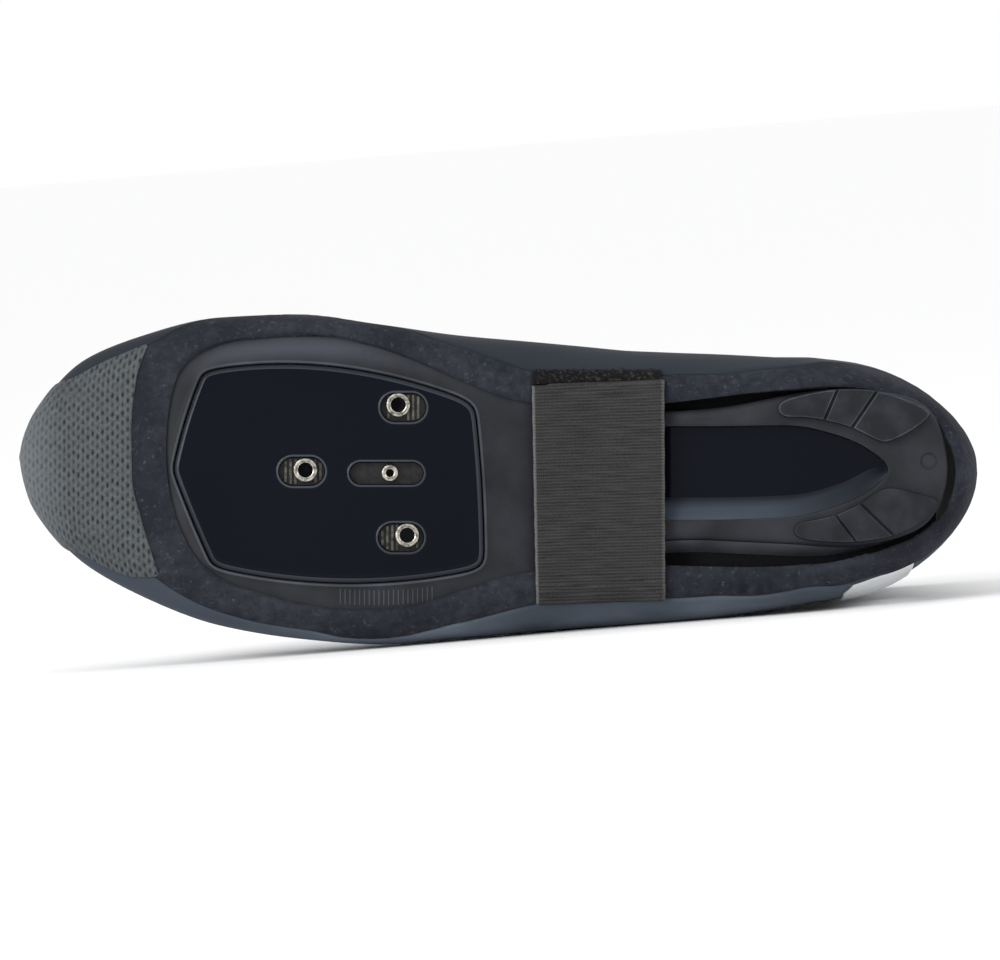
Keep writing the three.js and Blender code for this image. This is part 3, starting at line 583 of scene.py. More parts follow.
opening_plan = smooth_loop(plan_loop(OPENING), 800)
front = min(range(len(opening_plan)), key=lambda i: opening_plan[i].x)
opening_plan = opening_plan[front:] + opening_plan[:front]
back = max(range(len(opening_plan)), key=lambda i: opening_plan[i].x)
opening_sides = {1: opening_plan[: back + 1], -1: [*opening_plan[back:], opening_plan[0]][::-1]}
if sum(p.y for p in opening_sides[1]) < sum(p.y for p in opening_sides[-1]):
    opening_sides = {1: opening_sides[-1], -1: opening_sides[1]}

toe_end = (seam_points[1][0] + seam_points[-1][0]) / 2
heel_half = rib_half(HEEL_CLOSE, 1)
seam_sides = {
    side: [on_form(toe_end), *points, heel_half[0]] for side, points in seam_points.items()
}
rings_from, rings_to = [], []
for side in (1, -1):
    inner = spread(opening_sides[side], PANEL_POINTS // 2)
    outer = spread(seam_sides[side], PANEL_POINTS // 2)
    if side < 0:
        inner, outer = inner[::-1], outer[::-1]
    rings_from += inner[:-1]
    rings_to += outer[:-1]

# Puckers along the seam and the rolled edge, where the thread draws the fabric in every few millimetres
rng = random.Random(7)
puckers = [rng.uniform(0.4, 1.0) for _ in range(PANEL_POINTS)]
PANEL_STEPS = 26
GATHERS = ((66, 140), (188, 236))  # where the lateral seam is gathered most


def seam_gather(point):
    inside = any(start < point.x < end for start, end in GATHERS)
    return 1.0 if inside and point.y > 0 else 0.0


outer_rings, inner_rings, dent_rings = [], [], []
for step in range(PANEL_STEPS + 1):
    share = step / PANEL_STEPS
    share = share * share * (3 - 2 * share) * 0.5 + share * 0.5
    outer_ring, inner_ring, dents = [], [], []
    for i, (a, b) in enumerate(zip(rings_from, rings_to)):
        start = rest_under(a)
        width = (b - start).length
        from_edge = width * share
        from_seam = width * (1 - share)
        place = on_form(start.lerp(b, share))
        inward = (on_form(place, -1.0) - place).normalized()
        roll = PANEL_ROLL_DEPTH * max(0, 1 - from_edge / PANEL_ROLL) ** 2
        gathered = 0.16 + 0.22 * seam_gather(b)
        pucker = gathered * puckers[i] * math.exp(-((from_seam - 2.2) / 1.6) ** 2)
        near_seam = math.exp(-((from_seam - 3.2) / 2.2) ** 2)
        # painted shade: a dark mark in the puckers beside the gathered lateral seam
        dents.append(near_seam * seam_gather(b) * max(0, 1.1 - 1.5 * puckers[i]))
        dip = 0.35 * math.exp(-(from_seam / 0.9) ** 2)
        outer_ring.append(place + inward * (roll + dip - pucker))
        inner_ring.append(place + inward * WALL)
    dent_rings.append([*dents, dents[0]])
    outer_rings.append([*outer_ring, outer_ring[0]])
    inner_rings.append([*inner_ring, inner_ring[0]])
unmarked = [[0.0] * len(dent_rings[0])]
dent_rows = unmarked + dent_rings + unmarked * len(inner_rings)
bm = grid_through([inner_rings[0], *outer_rings, *inner_rings[::-1]], dent=dent_rows)

# Brushed polyester fabric: matt, charcoal with a violet cast, its nap clumped in flecks of 1 to 3 mm
panel_fabric, tree, shader, place = new_material(
    "brushed polyester fabric", Roughness=0.92, Specular_IOR_Level=0.12,
)
clumps = add_node(tree, "TexNoise", {"Vector": place, "Scale": 330, "Detail": 5, "Roughness": 0.65})
cloud = add_node(tree, "TexNoise", {"Vector": place, "Scale": 45, "Detail": 2})
mixed = add_node(tree, "Math", {0: clumps, 1: cloud, 2: 0.12}, operation="MULTIPLY_ADD")
tone = add_node(tree, "ValToRGB", {"Fac": mixed}, stops=((0.28, "#1f2128"), (0.62, "#363840")))
# painted shade darkens the fabric towards near black in those puckers
dent = add_node(tree, "Attribute", attribute_name="dent")
dented = add_node(tree, "Mix", {0: dent.outputs["Fac"], 6: tone, 7: linear("#0d0e12")}, data_type="RGBA")
fleck = add_node(tree, "TexNoise", {"Vector": place, "Scale": 620, "Detail": 4, "Roughness": 0.7})
fleck_share = add_node(tree, "MapRange", {"Value": fleck, "From Min": 0.58, "From Max": 0.75})
flecked = add_node(
    tree, "Mix", {0: fleck_share, 6: dented.outputs[2], 7: linear("#42454c")}, data_type="RGBA",
)
nap = add_node(tree, "TexNoise", {"Vector": place, "Scale": 1500, "Detail": 3})
relief = add_node(tree, "Bump", {"Height": nap, "Strength": 0.5, "Distance": 0.0003})
clump_relief = add_node(
    tree, "Bump", {"Height": clumps, "Strength": 0.35, "Distance": 0.0006, "Normal": relief},
)
set_inputs(tree, shader, {"Base Color": flecked.outputs[2], "Normal": clump_relief})
finish_piece("underfoot_fabric", bm, panel_fabric, ["underfoot_panel"])


# Ankle hem
# The top edge of the cover is folded over and sewn down, which makes a band 14 mm deep that stands
# 0.8 mm proud, with two rows of stitches at its foot.
HEM_FOOT = 152
HEM_PROFILE = (  # distance out from the cover's face, and height
    (-0.2, HEM_FOOT - 0.3), (0.45, HEM_FOOT - 0.1), (0.8, HEM_FOOT + 0.6), (0.95, HEM_FOOT + 2.0),
    (0.75, HEM_FOOT + 3.2), (0.95, HEM_FOOT + 4.6), (0.95, 158.5), (0.9, 162), (0.85, 164.4),
    (0.5, 165.5), (-0.3, 166), (-1.4, 166), (-2.2, 165.5), (-2.5, 164.4), (-2.5, 158), (-2.5, HEM_FOOT),
)
collar = spread(rib_half(TOP_RIB, 1), 90)
collar += spread(rib_half(TOP_RIB, -1), 90)[-2::-1]


def round_collar(out, height):
    """A closed row of points round the ankle, a distance out from the cover's face."""
    row = []
    for point in collar:
        face = on_form(Vector((point.x, point.y, min(height, COLLAR_HEIGHT - 0.5))))
        outward = on_form(face, 1.0) - face
        outward.z = 0
        row.append(Vector((face.x, face.y, height)) + outward.normalized() * out)
    row[-1] = row[0].copy()
    return row


hem_rows = [round_collar(out, height) for out, height in HEM_PROFILE]
hem_rows.append(hem_rows[0])
bm = grid_through(hem_rows)
finish_piece("ankle_hem", bm, coated_neoprene, ["upper"])

# Polyester thread: tightly twisted, dark, a little lighter than the fabric, so its stitches just show
thread, tree, shader, place = new_material("polyester thread", Roughness=0.6, Specular_IOR_Level=0.3)
twist = add_node(tree, "TexWave", {"Vector": place, "Scale": 900, "Distortion": 2})
tone = add_node(tree, "ValToRGB", {"Fac": twist.outputs["Fac"]}, stops=((0, "#26282c"), (1, "#44474d")))
set_inputs(tree, shader, {"Base Color": tone})

STITCH_LENGTH = 2.4
STITCH_GAP = 0.7
THREAD_RADIUS = 0.24


def sew(shaped, line, lift):
    """Adds a row of stitches along a line on the cover. Each is a long bead sunk at both ends."""
    run = lengths_along(line)
    distance = STITCH_GAP
    while distance + STITCH_LENGTH < run[-1]:
        start = on_form(point_along(line, run, distance), lift)
        end = on_form(point_along(line, run, distance + STITCH_LENGTH), lift)
        along = (end - start).normalized()
        middle = (start + end) / 2
        outward = (on_form(middle, lift + 1) - on_form(middle, lift)).normalized()
        across = outward.cross(along).normalized()
        sides = Matrix((along * STITCH_LENGTH / 2, across * THREAD_RADIUS, outward * THREAD_RADIUS * 0.8))
        bead = Matrix.Translation(middle) @ sides.transposed().to_4x4()
        bead = bead @ Matrix.Rotation(math.pi / 2, 4, "Y")
        bmesh.ops.create_uvsphere(shaped, u_segments=6, v_segments=5, radius=1, matrix=bead)
        distance += STITCH_LENGTH + STITCH_GAP


bm = bmesh.new()
for height in (HEM_FOOT + 2.6, HEM_FOOT + 4.0):
    sew(bm, round_collar(0, height), 0.85)
finish_piece("hem_stitches", bm, thread, ["upper"], sharp=80)

# Centre seams
# The halves of the cover meet along the instep and up the heel, joined edge to edge and covered by a
# flat bonded tape 8 mm wide with a stitch row near each edge.
TAPE_HALF = 4.0
TAPE_START = 42  # how high up the heel the tape starts
TAPE_STEPS = 150
TAPE_SECTION = (  # shares of the half width out from the middle, and height off the cover
    (-1, -0.2), (-1, 0.25), (-0.88, 0.5), (-0.3, 0.5), (0, 0.38), (0.3, 0.5), (0.88, 0.5), (1, 0.25),
    (1, -0.2), (-1, -0.2),
)
STITCH_ROW = 0.7  # where a row of stitches runs, as a share of the half width
top_line = [row[len(row) // 2] for row in cover_rows[1:]]
instep_line = [p for p in top_line if p.x > 30]
heel_line = [
    row[0] for row, p in zip(cover_rows[1:], cover_places) if p > HEEL_CLOSE and row[0].z > TAPE_START
]


def aside(line, share):
    """The points of a line on the cover, moved sideways by a share of the tape's half width."""
    moved = []
    for i, point in enumerate(line):
        along = (line[min(i + 1, len(line) - 1)] - line[max(i - 1, 0)]).normalized()
        outward = (on_form(point, 1.0) - on_form(point)).normalized()
        moved.append(point + along.cross(outward).normalized() * share * TAPE_HALF)
    return moved


def seam_tape(name, line):
    """A flat tape along a line of the cover, and its stitches."""
    line = spread(line, TAPE_STEPS)
    strips = [(aside(line, share), lift) for share, lift in TAPE_SECTION]
    rows = [
        [on_form(strip[i], fold_depth(on_form(strip[i])) + lift) for strip, lift in strips]
        for i in range(len(line))
    ]
    ends = [[sum(row[:-1], Vector()) / (len(row) - 1)] * len(row) for row in (rows[0], rows[-1])]
    shaped = grid_through([ends[0], *rows, ends[1]])
    finish_piece(name, shaped, coated_neoprene, ["upper"])
    shaped = bmesh.new()
    for side in (-1, 1):
        sew(shaped, aside(line, side * STITCH_ROW), 0.5)
    finish_piece(name + "_stitches", shaped, thread, ["upper"], sharp=80)


seam_tape("instep_tape", instep_line)
seam_tape("heel_tape", heel_line)

# Toe patch
# Hard-wearing grey knit bonded over the toe. Its face is a close mesh of slim pits in staggered
# columns, which are sunk into the piece's own surface.
PATCH_EDGE = (  # the edge under the foot, from the medial to the lateral side: shares as above
    (0.135, -0.83), (0.123, -0.63), (0.117, -0.3), (0.118, 0.0), (0.128, 0.25), (0.146, 0.585),
)
PATCH_LATERAL = ((0.146, 0.585), (0.123, 0.59), (0.095, 0.54), (0.067, 0.454))
PATCH_MEDIAL = ((0.135, -0.83), (0.085, -0.71), (0.056, -0.62))
PATCH_TOP = 30
PATCH_SHOULDER = 0.06  # the angle up to the edge beside the tip
PATCH_ACROSS = 250
PATCH_ALONG = 190
PATCH_BACK = 24
PATCH_THICKNESS = 0.5
PIT_COLUMN = 1.89  # between two columns of pits
PIT_PITCH = 2.85  # between two pits of a column
PIT_DEPTH = 0.38
COLUMN_STEP = 0.35  # roughly between two points of the patch, across and along
ROW_STEP = 0.3
PLAIN_EDGE = 0.6
TOE_CENTRE = Vector((60, -3, 22))  # every part of the toe is in plain sight of this point


def plan_line(rows, steps):
    """A smooth line in plan through points that are given as shares."""
    line = [Vector((along * LENGTH, across * HALF_BALL, 0)) for along, across in rows]
    curves = [smooth_curve(range(len(line)), [p[axis] for p in line]) for axis in (0, 1)]
    dense = [Vector((curves[0](i / 20), curves[1](i / 20), 0)) for i in range(20 * (len(line) - 1) + 1)]
    return spread(dense, steps)


def bearing(point):
    """A point of the toe as two angles seen from its centre: sideways of forward, and upwards."""
    arm = point - TOE_CENTRE
    return math.atan2(arm.y, -arm.x), math.atan2(arm.z, math.hypot(arm.x, arm.y))


def along_bearing(sideways, upwards):
    aim = Vector((
        -math.cos(sideways) * math.cos(upwards), math.sin(sideways) * math.cos(upwards), math.sin(upwards),
    ))
    return form.ray_cast(TOE_CENTRE, aim)[0]


low_edge = [bearing(rest_under(p)) for p in plan_line(PATCH_EDGE, 60)]
lateral_edge = [bearing(rest_under(p)) for p in plan_line(PATCH_LATERAL, 12)[1:]]
medial_edge = [bearing(rest_under(p)) for p in plan_line(PATCH_MEDIAL, 12)[1:]]
tip_knot = (0.0, math.atan2(PATCH_TOP - TOE_CENTRE.z, TOE_CENTRE.x - 3))
medial_knot = (medial_edge[-1][0] * 0.72, PATCH_SHOULDER)
lateral_knot = (lateral_edge[-1][0] * 0.72, PATCH_SHOULDER)
high_edge = [
    low_edge[0], *medial_edge, medial_knot, tip_knot, lateral_knot, *lateral_edge[::-1], low_edge[-1],
]
low_curve = smooth_curve([angle for angle, _ in low_edge], [rise for _, rise in low_edge])
high_curve = smooth_curve([angle for angle, _ in high_edge], [rise for _, rise in high_edge])
first, last = low_edge[0][0] * 0.985, low_edge[-1][0] * 0.985
patch_rows = []
for j in range(PATCH_ALONG + 1):
    row = []
    for i in range(PATCH_ACROSS + 1):
        sideways = first + (last - first) * i / PATCH_ACROSS
        low, high = low_curve(sideways), high_curve(sideways)
        row.append(along_bearing(sideways, low + (high - low) * j / PATCH_ALONG))
    patch_rows.append(row)

patch_sections, section_maps, section_pits = [], [], []
for j, row in enumerate(patch_rows):
    face, maps, pits = [], [], []
    for i, point in enumerate(row):
        over_tip, sideways = 0.8 * point.z - point.x, point.y
        column = over_tip / PIT_COLUMN
        in_column = (column - math.floor(column) - 0.5) * PIT_COLUMN
        in_row = sideways / PIT_PITCH + 0.5 * (math.floor(column) % 2) + 0.1 * math.sin(column * 1.7)
        column_count, row_count = math.floor(column), math.floor(in_row)
        in_row = (in_row - row_count - 0.5) * PIT_PITCH
        from_edge = min(min(i, PATCH_ACROSS - i) * COLUMN_STEP, min(j, PATCH_ALONG - j) * ROW_STEP)
        uneven = math.sin(column_count * 12.9 + row_count * 78.2)
        open_share = 0.75 + 0.25 * uneven if from_edge > PLAIN_EDGE else 0.0
        pit = open_share * math.exp(-(in_column / 0.37) ** 2 - (in_row / 0.7) ** 2)
        rim = 0.35 * max(0, 1 - from_edge)
        face.append(on_form(point, 0.15 + PATCH_THICKNESS - rim - PIT_DEPTH * pit))
        maps.append((over_tip, sideways))
        pits.append(pit)
    picks = [round(PATCH_ACROSS * (1 - k / PATCH_BACK)) for k in range(PATCH_BACK + 1)]
    underside = [on_form(row[i], 0.1) for i in picks]
    if j in (0, PATCH_ALONG):
        face = [point.lerp(on_form(point, 0.1), 0.5) for point in face]
        underside = [face[i] for i in picks]
    patch_sections.append(face + underside + face[:1])
    section_maps.append(maps + [maps[i] for i in picks] + maps[:1])
    section_pits.append(pits + [0.0] * (PATCH_BACK + 1) + pits[:1])
bm = grid_through(patch_sections, section_maps, pit=section_pits)
# Nylon knit: the yarn is a cool mid grey with a slight shine; painted shade darkens the pits between its
# loops
toe_knit, tree, shader, place = new_material("nylon toe knit", Roughness=0.62, Specular_IOR_Level=0.3)
# painted shade in the pits, read from each point
pit = add_node(tree, "Attribute", attribute_name="pit")
wander = add_node(tree, "TexNoise", {"Vector": place, "Scale": 1100, "Detail": 3})
depth = add_node(tree, "Math", {0: wander, 1: 0.55, 2: pit.outputs["Fac"]}, operation="MULTIPLY_ADD")
tone = add_node(
    tree, "ValToRGB", {"Fac": depth},
    stops=((0.16, "#4a4f52"), (0.34, "#3a3e41"), (0.55, "#2b2e31"), (0.95, "#0b0c0e")),
)
split = add_node(tree, "SeparateXYZ", {"Vector": place})
# painted highlight: the knit is lighter towards the toe tip
to_tip = {"Value": split.outputs["X"], "From Min": -0.13, "From Max": -0.145, "To Max": 0.34}
at_tip = add_node(tree, "MapRange", to_tip)
painted_highlight = add_node(tree, "Mix", {0: at_tip, 6: tone, 7: linear("#7e8488")}, data_type="RGBA")
yarn = add_node(tree, "TexNoise", {"Vector": place, "Scale": 2600, "Detail": 2})
relief = add_node(tree, "Bump", {"Height": yarn, "Strength": 0.5, "Distance": 0.0002})
set_inputs(tree, shader, {"Base Color": painted_highlight.outputs[2], "Normal": relief})
finish_piece("toe_knit_patch", bm, toe_knit, ["toe_patch"], sharp=60)

# Arch strap
# Elastic webbing 40 mm wide, sewn into the lateral seam, drawn across the arch and fastened with hook
# tape at its medial end. Cords run across its width about 0.9 mm apart, between two pale selvedges.
STRAP_CORNERS = ((0.533, -0.572), (0.6725, -0.6), (0.6735, 0.721), (0.5375, 0.745))
STRAP_THICKNESS = 1.6
STRAP_LIFT = 0.3
STRAP_WIDTH = 40.0
CORD_PITCH = 0.92
WARP_PITCH = 0.62
CORD_DEPTH = 0.07
STRAP_ACROSS = 40
STRAP_ROWS = 460
strap_corners = [Vector((a * LENGTH, b * HALF_BALL, 0)) for a, b in STRAP_CORNERS]
strap_length = (strap_corners[3] - strap_corners[0]).length
strap_rows, strap_maps = [], []
for j in range(STRAP_ROWS + 1):
    v = j / STRAP_ROWS
    row, maps = [], []
    left = strap_corners[0].lerp(strap_corners[3], v)
    right = strap_corners[1].lerp(strap_corners[2], v)
    down = (left - strap_corners[0]).length
    for i in range(STRAP_ACROSS + 1):
        u = i / STRAP_ACROSS
        wobble = 0.05 * math.sin(down * 0.9 + 2 * math.sin(down * 0.13)) if i in (0, STRAP_ACROSS) else 0
        spot = left.lerp(right, u) + Vector((wobble, 0, 0))
        from_side = min(u, 1 - u) * (right - left).length
        rim = 0.55 * max(0, 1 - from_side / 0.9) ** 2
        cord_phase = down / CORD_PITCH + 0.06 * math.sin(u * 19 + down * 0.3)
        cord = CORD_DEPTH * math.cos(2 * math.pi * cord_phase)
        sway = 0.12 * math.sin(u * 7 + down * 0.11) + 0.08 * math.sin(u * 3 - down * 0.07)
        end_rim = 0.6 * max(0, 1 - min(down, strap_length - down) / 0.8) ** 2
        row.append(rest_under(spot, STRAP_LIFT + STRAP_THICKNESS + cord + sway - rim - end_rim))
        maps.append((u * STRAP_WIDTH, down))
    strap_rows.append(row)
    strap_maps.append(maps)
bm = grid_through(strap_rows, strap_maps)
# Elastic webbing: matt dark grey polyester over rubber, each cord crossed by warp threads, drawn
# 0.62 mm apart so that they show. Dust and wear leave some cords browner and paler than others.
strap_webbing, tree, shader, place = new_material(
    "elastic polyester webbing", coordinates="UV", Roughness=0.9, Specular_IOR_Level=0.06,
)
split = add_node(tree, "SeparateXYZ", {"Vector": place})
cord_turn = add_node(tree, "Math", {0: split.outputs["Y"], 1: 2 * math.pi / CORD_PITCH}, operation="MULTIPLY")
cord_wave = add_node(tree, "Math", {0: cord_turn}, operation="COSINE")
warp_turn = add_node(tree, "Math", {0: split.outputs["X"], 1: 2 * math.pi / WARP_PITCH}, operation="MULTIPLY")
warp_wave = add_node(tree, "Math", {0: warp_turn}, operation="SINE")
weave = add_node(tree, "Math", {0: warp_wave, 1: 0.6, 2: cord_wave}, operation="MULTIPLY_ADD")
stretch = add_node(tree, "Mapping", {"Vector": place, "Scale": (0.1, 1.0, 1.0)})
cord_noise = add_node(tree, "TexNoise", {"Vector": stretch, "Scale": 1.0, "Detail": 2})
dust = add_node(tree, "TexNoise", {"Vector": place, "Scale": 2.2, "Detail": 3})
uneven = add_node(tree, "Math", {0: cord_noise, 1: dust}, operation="ADD")
height = add_node(tree, "Math", {0: uneven, 1: 5.0, 2: weave}, operation="MULTIPLY_ADD")
fit_range = add_node(tree, "MapRange", {"Value": height, "From Min": 1.8, "From Max": 8.2})
tone = add_node(tree, "ValToRGB", {"Fac": fit_range}, stops=((0, "#1a1a1b"), (1, "#444445")))
left_edge = add_node(
    tree, "MapRange", {"Value": split.outputs["X"], "From Min": 0.9, "From Max": 0.4, "To Max": 1.3},
)
right_edge = add_node(
    tree, "MapRange", {"Value": split.outputs["X"], "From Min": 38.9, "From Max": 39.7, "To Max": 0.8},
)
at_selvedge = add_node(tree, "Math", {0: left_edge, 1: right_edge}, operation="MAXIMUM")
speckle = add_node(tree, "Math", {0: at_selvedge, 1: dust}, operation="MULTIPLY")
paler = add_node(tree, "Mix", {0: speckle, 6: tone, 7: linear("#6f6e6b")}, data_type="RGBA")
relief = add_node(tree, "Bump", {"Height": height, "Strength": 0.35, "Distance": 0.0001})
set_inputs(tree, shader, {"Base Color": paler.outputs[2], "Normal": relief})
strap = finish_piece("webbing_strap", bm, strap_webbing, ["arch_strap"], sharp=60)
give_thickness(strap, STRAP_THICKNESS - 0.15)

# Hook tape
# Black hook tape sewn to the cover under the strap's medial end. A narrow strip of it shows, with the
# strap's fabric fibres caught in its hooks.
TAPE_WIDTHS = (4.0, 2.7)
HOOK_TAPE_THICKNESS = 1.0
HOOK_COLUMNS = 60
HOOK_ROWS = 6
TUFTS = 260
tape_left = strap_corners[0] + Vector((0.3, -0.3, 0))
tape_right = strap_corners[1] + Vector((-1.2, -0.3, 0))


def tape_width(u):
    return TAPE_WIDTHS[0] + (TAPE_WIDTHS[1] - TAPE_WIDTHS[0]) * u


tape_sections = []
for i in range(HOOK_COLUMNS + 1):
    u = i / HOOK_COLUMNS
    face, underside = [], []
    for j in range(HOOK_ROWS + 1):
        v = j / HOOK_ROWS
        ragged = 0.25 * math.sin(u * 97) * math.sin(u * 41) * v
        spot = tape_left.lerp(tape_right, u) - Vector((0, tape_width(u) * v - ragged, 0))
        rim = 0.3 * (1 - math.sin(v * math.pi)) ** 3
        face.append(rest_under(spot, STRAP_LIFT + HOOK_TAPE_THICKNESS - rim))
        underside.append(rest_under(spot, STRAP_LIFT))
    if i in (0, HOOK_COLUMNS):
        face = underside = [a.lerp(b, 0.5) for a, b in zip(face, underside)]
    tape_sections.append(face + underside[::-1] + face[:1])
bm = grid_through(tape_sections)
rng = random.Random(11)
for _ in range(TUFTS):
    u = rng.random()
    spot = tape_left.lerp(tape_right, u) - Vector((0, rng.uniform(-0.5, tape_width(u) + 0.5), 0))
    base = rest_under(spot, 0.9)
    lean = Vector((rng.uniform(-1, 1), rng.uniform(-1, 1), -rng.uniform(0.2, 0.9))).normalized()
    reach = rng.uniform(0.5, 1.5)
    turned = lean.to_track_quat("Z", "Y").to_matrix().to_4x4()
    bmesh.ops.create_cone(
        bm, cap_ends=True, segments=4, radius1=0.07, radius2=0.025, depth=reach,
        matrix=Matrix.Translation(base + lean * reach / 2) @ turned,
    )
# Nylon hook tape: black, with a dull shine, and grey lint in it
hook_nylon, tree, shader, place = new_material("nylon hook tape", Roughness=0.6, Specular_IOR_Level=0.1)
lint = add_node(tree, "TexNoise", {"Vector": place, "Scale": 900, "Detail": 3})
tone = add_node(tree, "ValToRGB", {"Fac": lint}, stops=((0.52, "#0b0b0d"), (0.78, "#3b3936")))
set_inputs(tree, shader, {"Base Color": tone})
finish_piece("hook_strip", bm, hook_nylon, ["hook_tape"], sharp=50)

# Heel reflector
# A patch of silver film, welded to the lateral side of the heel with a pressed edge.
REFLECTOR_LEFT = ((0.869, 0.088), (0.859, 0.14), (0.853, 0.6))
REFLECTOR_RIGHT = ((0.932, 0.155), (0.92, 0.66))
REFLECTOR_THICKNESS = 0.6
FILM_ROWS = 70
FILM_COLUMNS = 40


def from_side(x, height, lift):
    """The point of the cover's lateral side at a place along it and a height, raised off it."""
    hit, normal, _, _ = form.ray_cast(Vector((x, 120, height)), Vector((0, -1, 0)))
    if normal.y < 0:
        normal = -normal
    return hit + normal * lift


def broken_line(rows, share):
    """A point at a share of the height of a line of points."""
    level = rows[0][1] + (rows[-1][1] - rows[0][1]) * share
    for a, b in zip(rows, rows[1:]):
        if level <= b[1] or b is rows[-1]:
            t = (level - a[1]) / (b[1] - a[1])
            return (a[0] + (b[0] - a[0]) * t) * LENGTH, level * INSTEP_HEIGHT


film_sections = []
for j in range(FILM_ROWS + 1):
    v = j / FILM_ROWS
    left_x, left_z = broken_line(REFLECTOR_LEFT, v)
    right_x, right_z = broken_line(REFLECTOR_RIGHT, v)
    face, underside = [], []
    for i in range(FILM_COLUMNS + 1):
        u = i / FILM_COLUMNS
        x, z = left_x + (right_x - left_x) * u, left_z + (right_z - left_z) * u
        edge_in = min(u * 22, (1 - u) * 22, v * 52, (1 - v) * 52)
        rim = 0.3 * max(0, 1 - edge_in / 0.6) + 0.12 * math.exp(-((edge_in - 1.6) / 0.5) ** 2)
        face.append(from_side(x, z, 0.2 + REFLECTOR_THICKNESS - rim))
        underside.append(from_side(x, z, 0.15))
    if j in (0, FILM_ROWS):
        face = underside = [a.lerp(b, 0.5) for a, b in zip(face, underside)]
    film_sections.append(face + underside[::-1] + face[:1])
bm = grid_through(film_sections)
# Glass-bead reflective film: silver grey, with a metallic sheen and beads far too fine to see, so the
# grain is drawn at 0.3 mm
silver_film, tree, shader, place = new_material("glass-bead reflective film", Metallic=0.3, Roughness=0.38)
beads = add_node(tree, "TexNoise", {"Vector": place, "Scale": 3000, "Detail": 2})
cloud = add_node(tree, "TexNoise", {"Vector": place, "Scale": 90, "Detail": 2})
mixed = add_node(tree, "Math", {0: beads, 1: cloud}, operation="ADD")
tone = add_node(tree, "ValToRGB", {"Fac": mixed}, stops=((0.35, "#b0b3b7"), (0.75, "#d8dadc")))
relief = add_node(tree, "Bump", {"Height": beads, "Strength": 0.2, "Distance": 0.0001})
set_inputs(tree, shader, {"Base Color": tone, "Normal": relief})
finish_piece("silver_patch", bm, silver_film, ["heel_reflector"], sharp=50)


# Sole frame
# The satin nylon frame of the shoe's sole: it carries the cleat plate, and its heel is hollowed out by
# a long scoop. Its edges are rounded where the mould parts.
SOLE = (
    (0.03, -0.153, 0.153), (0.042, 0.214, 0.488), (0.084, 0.451, 0.696), (0.146, 0.647, 0.824),
    (0.209, 0.781, 0.897), (0.292, 0.866, 0.927), (0.396, 0.866, 0.83), (0.459, 0.781, 0.72),
    (0.532, 0.659, 0.574), (0.605, 0.478, 0.464), (0.674, 0.373, 0.421), (0.744, 0.375, 0.454),
    (0.818, 0.396, 0.538), (0.872, 0.408, 0.56), (0.933, 0.311, 0.488), (0.954, 0.2, 0.38),
    (0.967, -0.055, 0.055),
)
LAND = (  # corners of the cleat land, and the control point of the curve on to the next corner
    (0.16, -0.061, 0.172, -0.4), (0.192, -0.665, 0.328, -0.811), (0.474, -0.47, 0.484, 0.02),
    (0.484, 0.537, 0.343, 0.726), (0.202, 0.531, 0.18, 0.26),
)
SCOOP = (  # along, then the rim's lateral and medial sides and the lateral foot of its slope
    (0.57, 0.1, 0.2, 0.0), (0.605, 0.244, 0.329, 0.116), (0.713, 0.244, 0.327, 0.116),
    (0.808, 0.226, 0.333, 0.1), (0.84, 0.181, 0.295, 0.06), (0.872, 0.116, 0.232, -0.01),
    (0.893, 0.035, 0.155, -0.08), (0.909, -0.06, 0.08, -0.07),
)
FRAME_THICKNESS = 3
PLATE_THICKNESS = 2.6
GAP = 0.3
PAD_THICKNESS = 3
LIFT_START = 0.56
LIFT_END = 0.78
BEND_STEP = 3.0
SOLE_POINTS = 360
LAND_STEPS = 36
LAND_ROUNDING = 6  # smoothing passes on an outline
SCOOP_ROUNDING = 5
SCOOP_POINTS = 130


def frame_bottom(x):
    t = min(max((x / LENGTH - LIFT_START) / (LIFT_END - LIFT_START), 0), 1)
    return ground(x) + WALL + (PAD_THICKNESS - WALL) * t * t * (3 - 2 * t) + GAP


def grown(loop, distance):
    """A closed outline moved outwards in plan."""
    turn = 1 if sum(a.cross(b).z for a, b in zip(loop, loop[1:] + loop[:1])) > 0 else -1
    moved = []
    for i, point in enumerate(loop):
        before = (point - loop[i - 1]).normalized()
        after = (loop[(i + 1) % len(loop)] - point).normalized()
        along = (before + after).normalized()
        stretch = min(1 / max(along.dot(after), 0.5), 1.5)
        moved.append(point + Vector((along.y, -along.x, 0)) * turn * distance * stretch)
    return moved


def ring(shaped, loop, height=None):
    """A closed ring of edges through the points of a loop, at a height in the flat or at its own."""
    made = bmesh.ops.create_circle(shaped, segments=len(loop), radius=1)["verts"]
    for vert, point in zip(made, loop):
        vert.co = (point.x, point.y, point.z if height is None else height)
    return list({edge for vert in made for edge in vert.link_edges})


def walls(shaped, rings_of_edges, painted_highlight=()):
    """Joins each ring to the next. The numbered walls get the piece's second material, a painted highlight.
    """
    for i, (a, b) in enumerate(zip(rings_of_edges, rings_of_edges[1:])):
        for face in bmesh.ops.bridge_loops(shaped, edges=a + b)["faces"]:
            face.material_index = int(i in painted_highlight)


def cover_flat(shaped, *rings_of_edges):
    """Fills between one outer ring and the rings of its holes."""
    edges = [edge for edges in rings_of_edges for edge in edges]
    bmesh.ops.triangle_fill(shaped, edges=edges, use_beauty=True, use_dissolve=False)


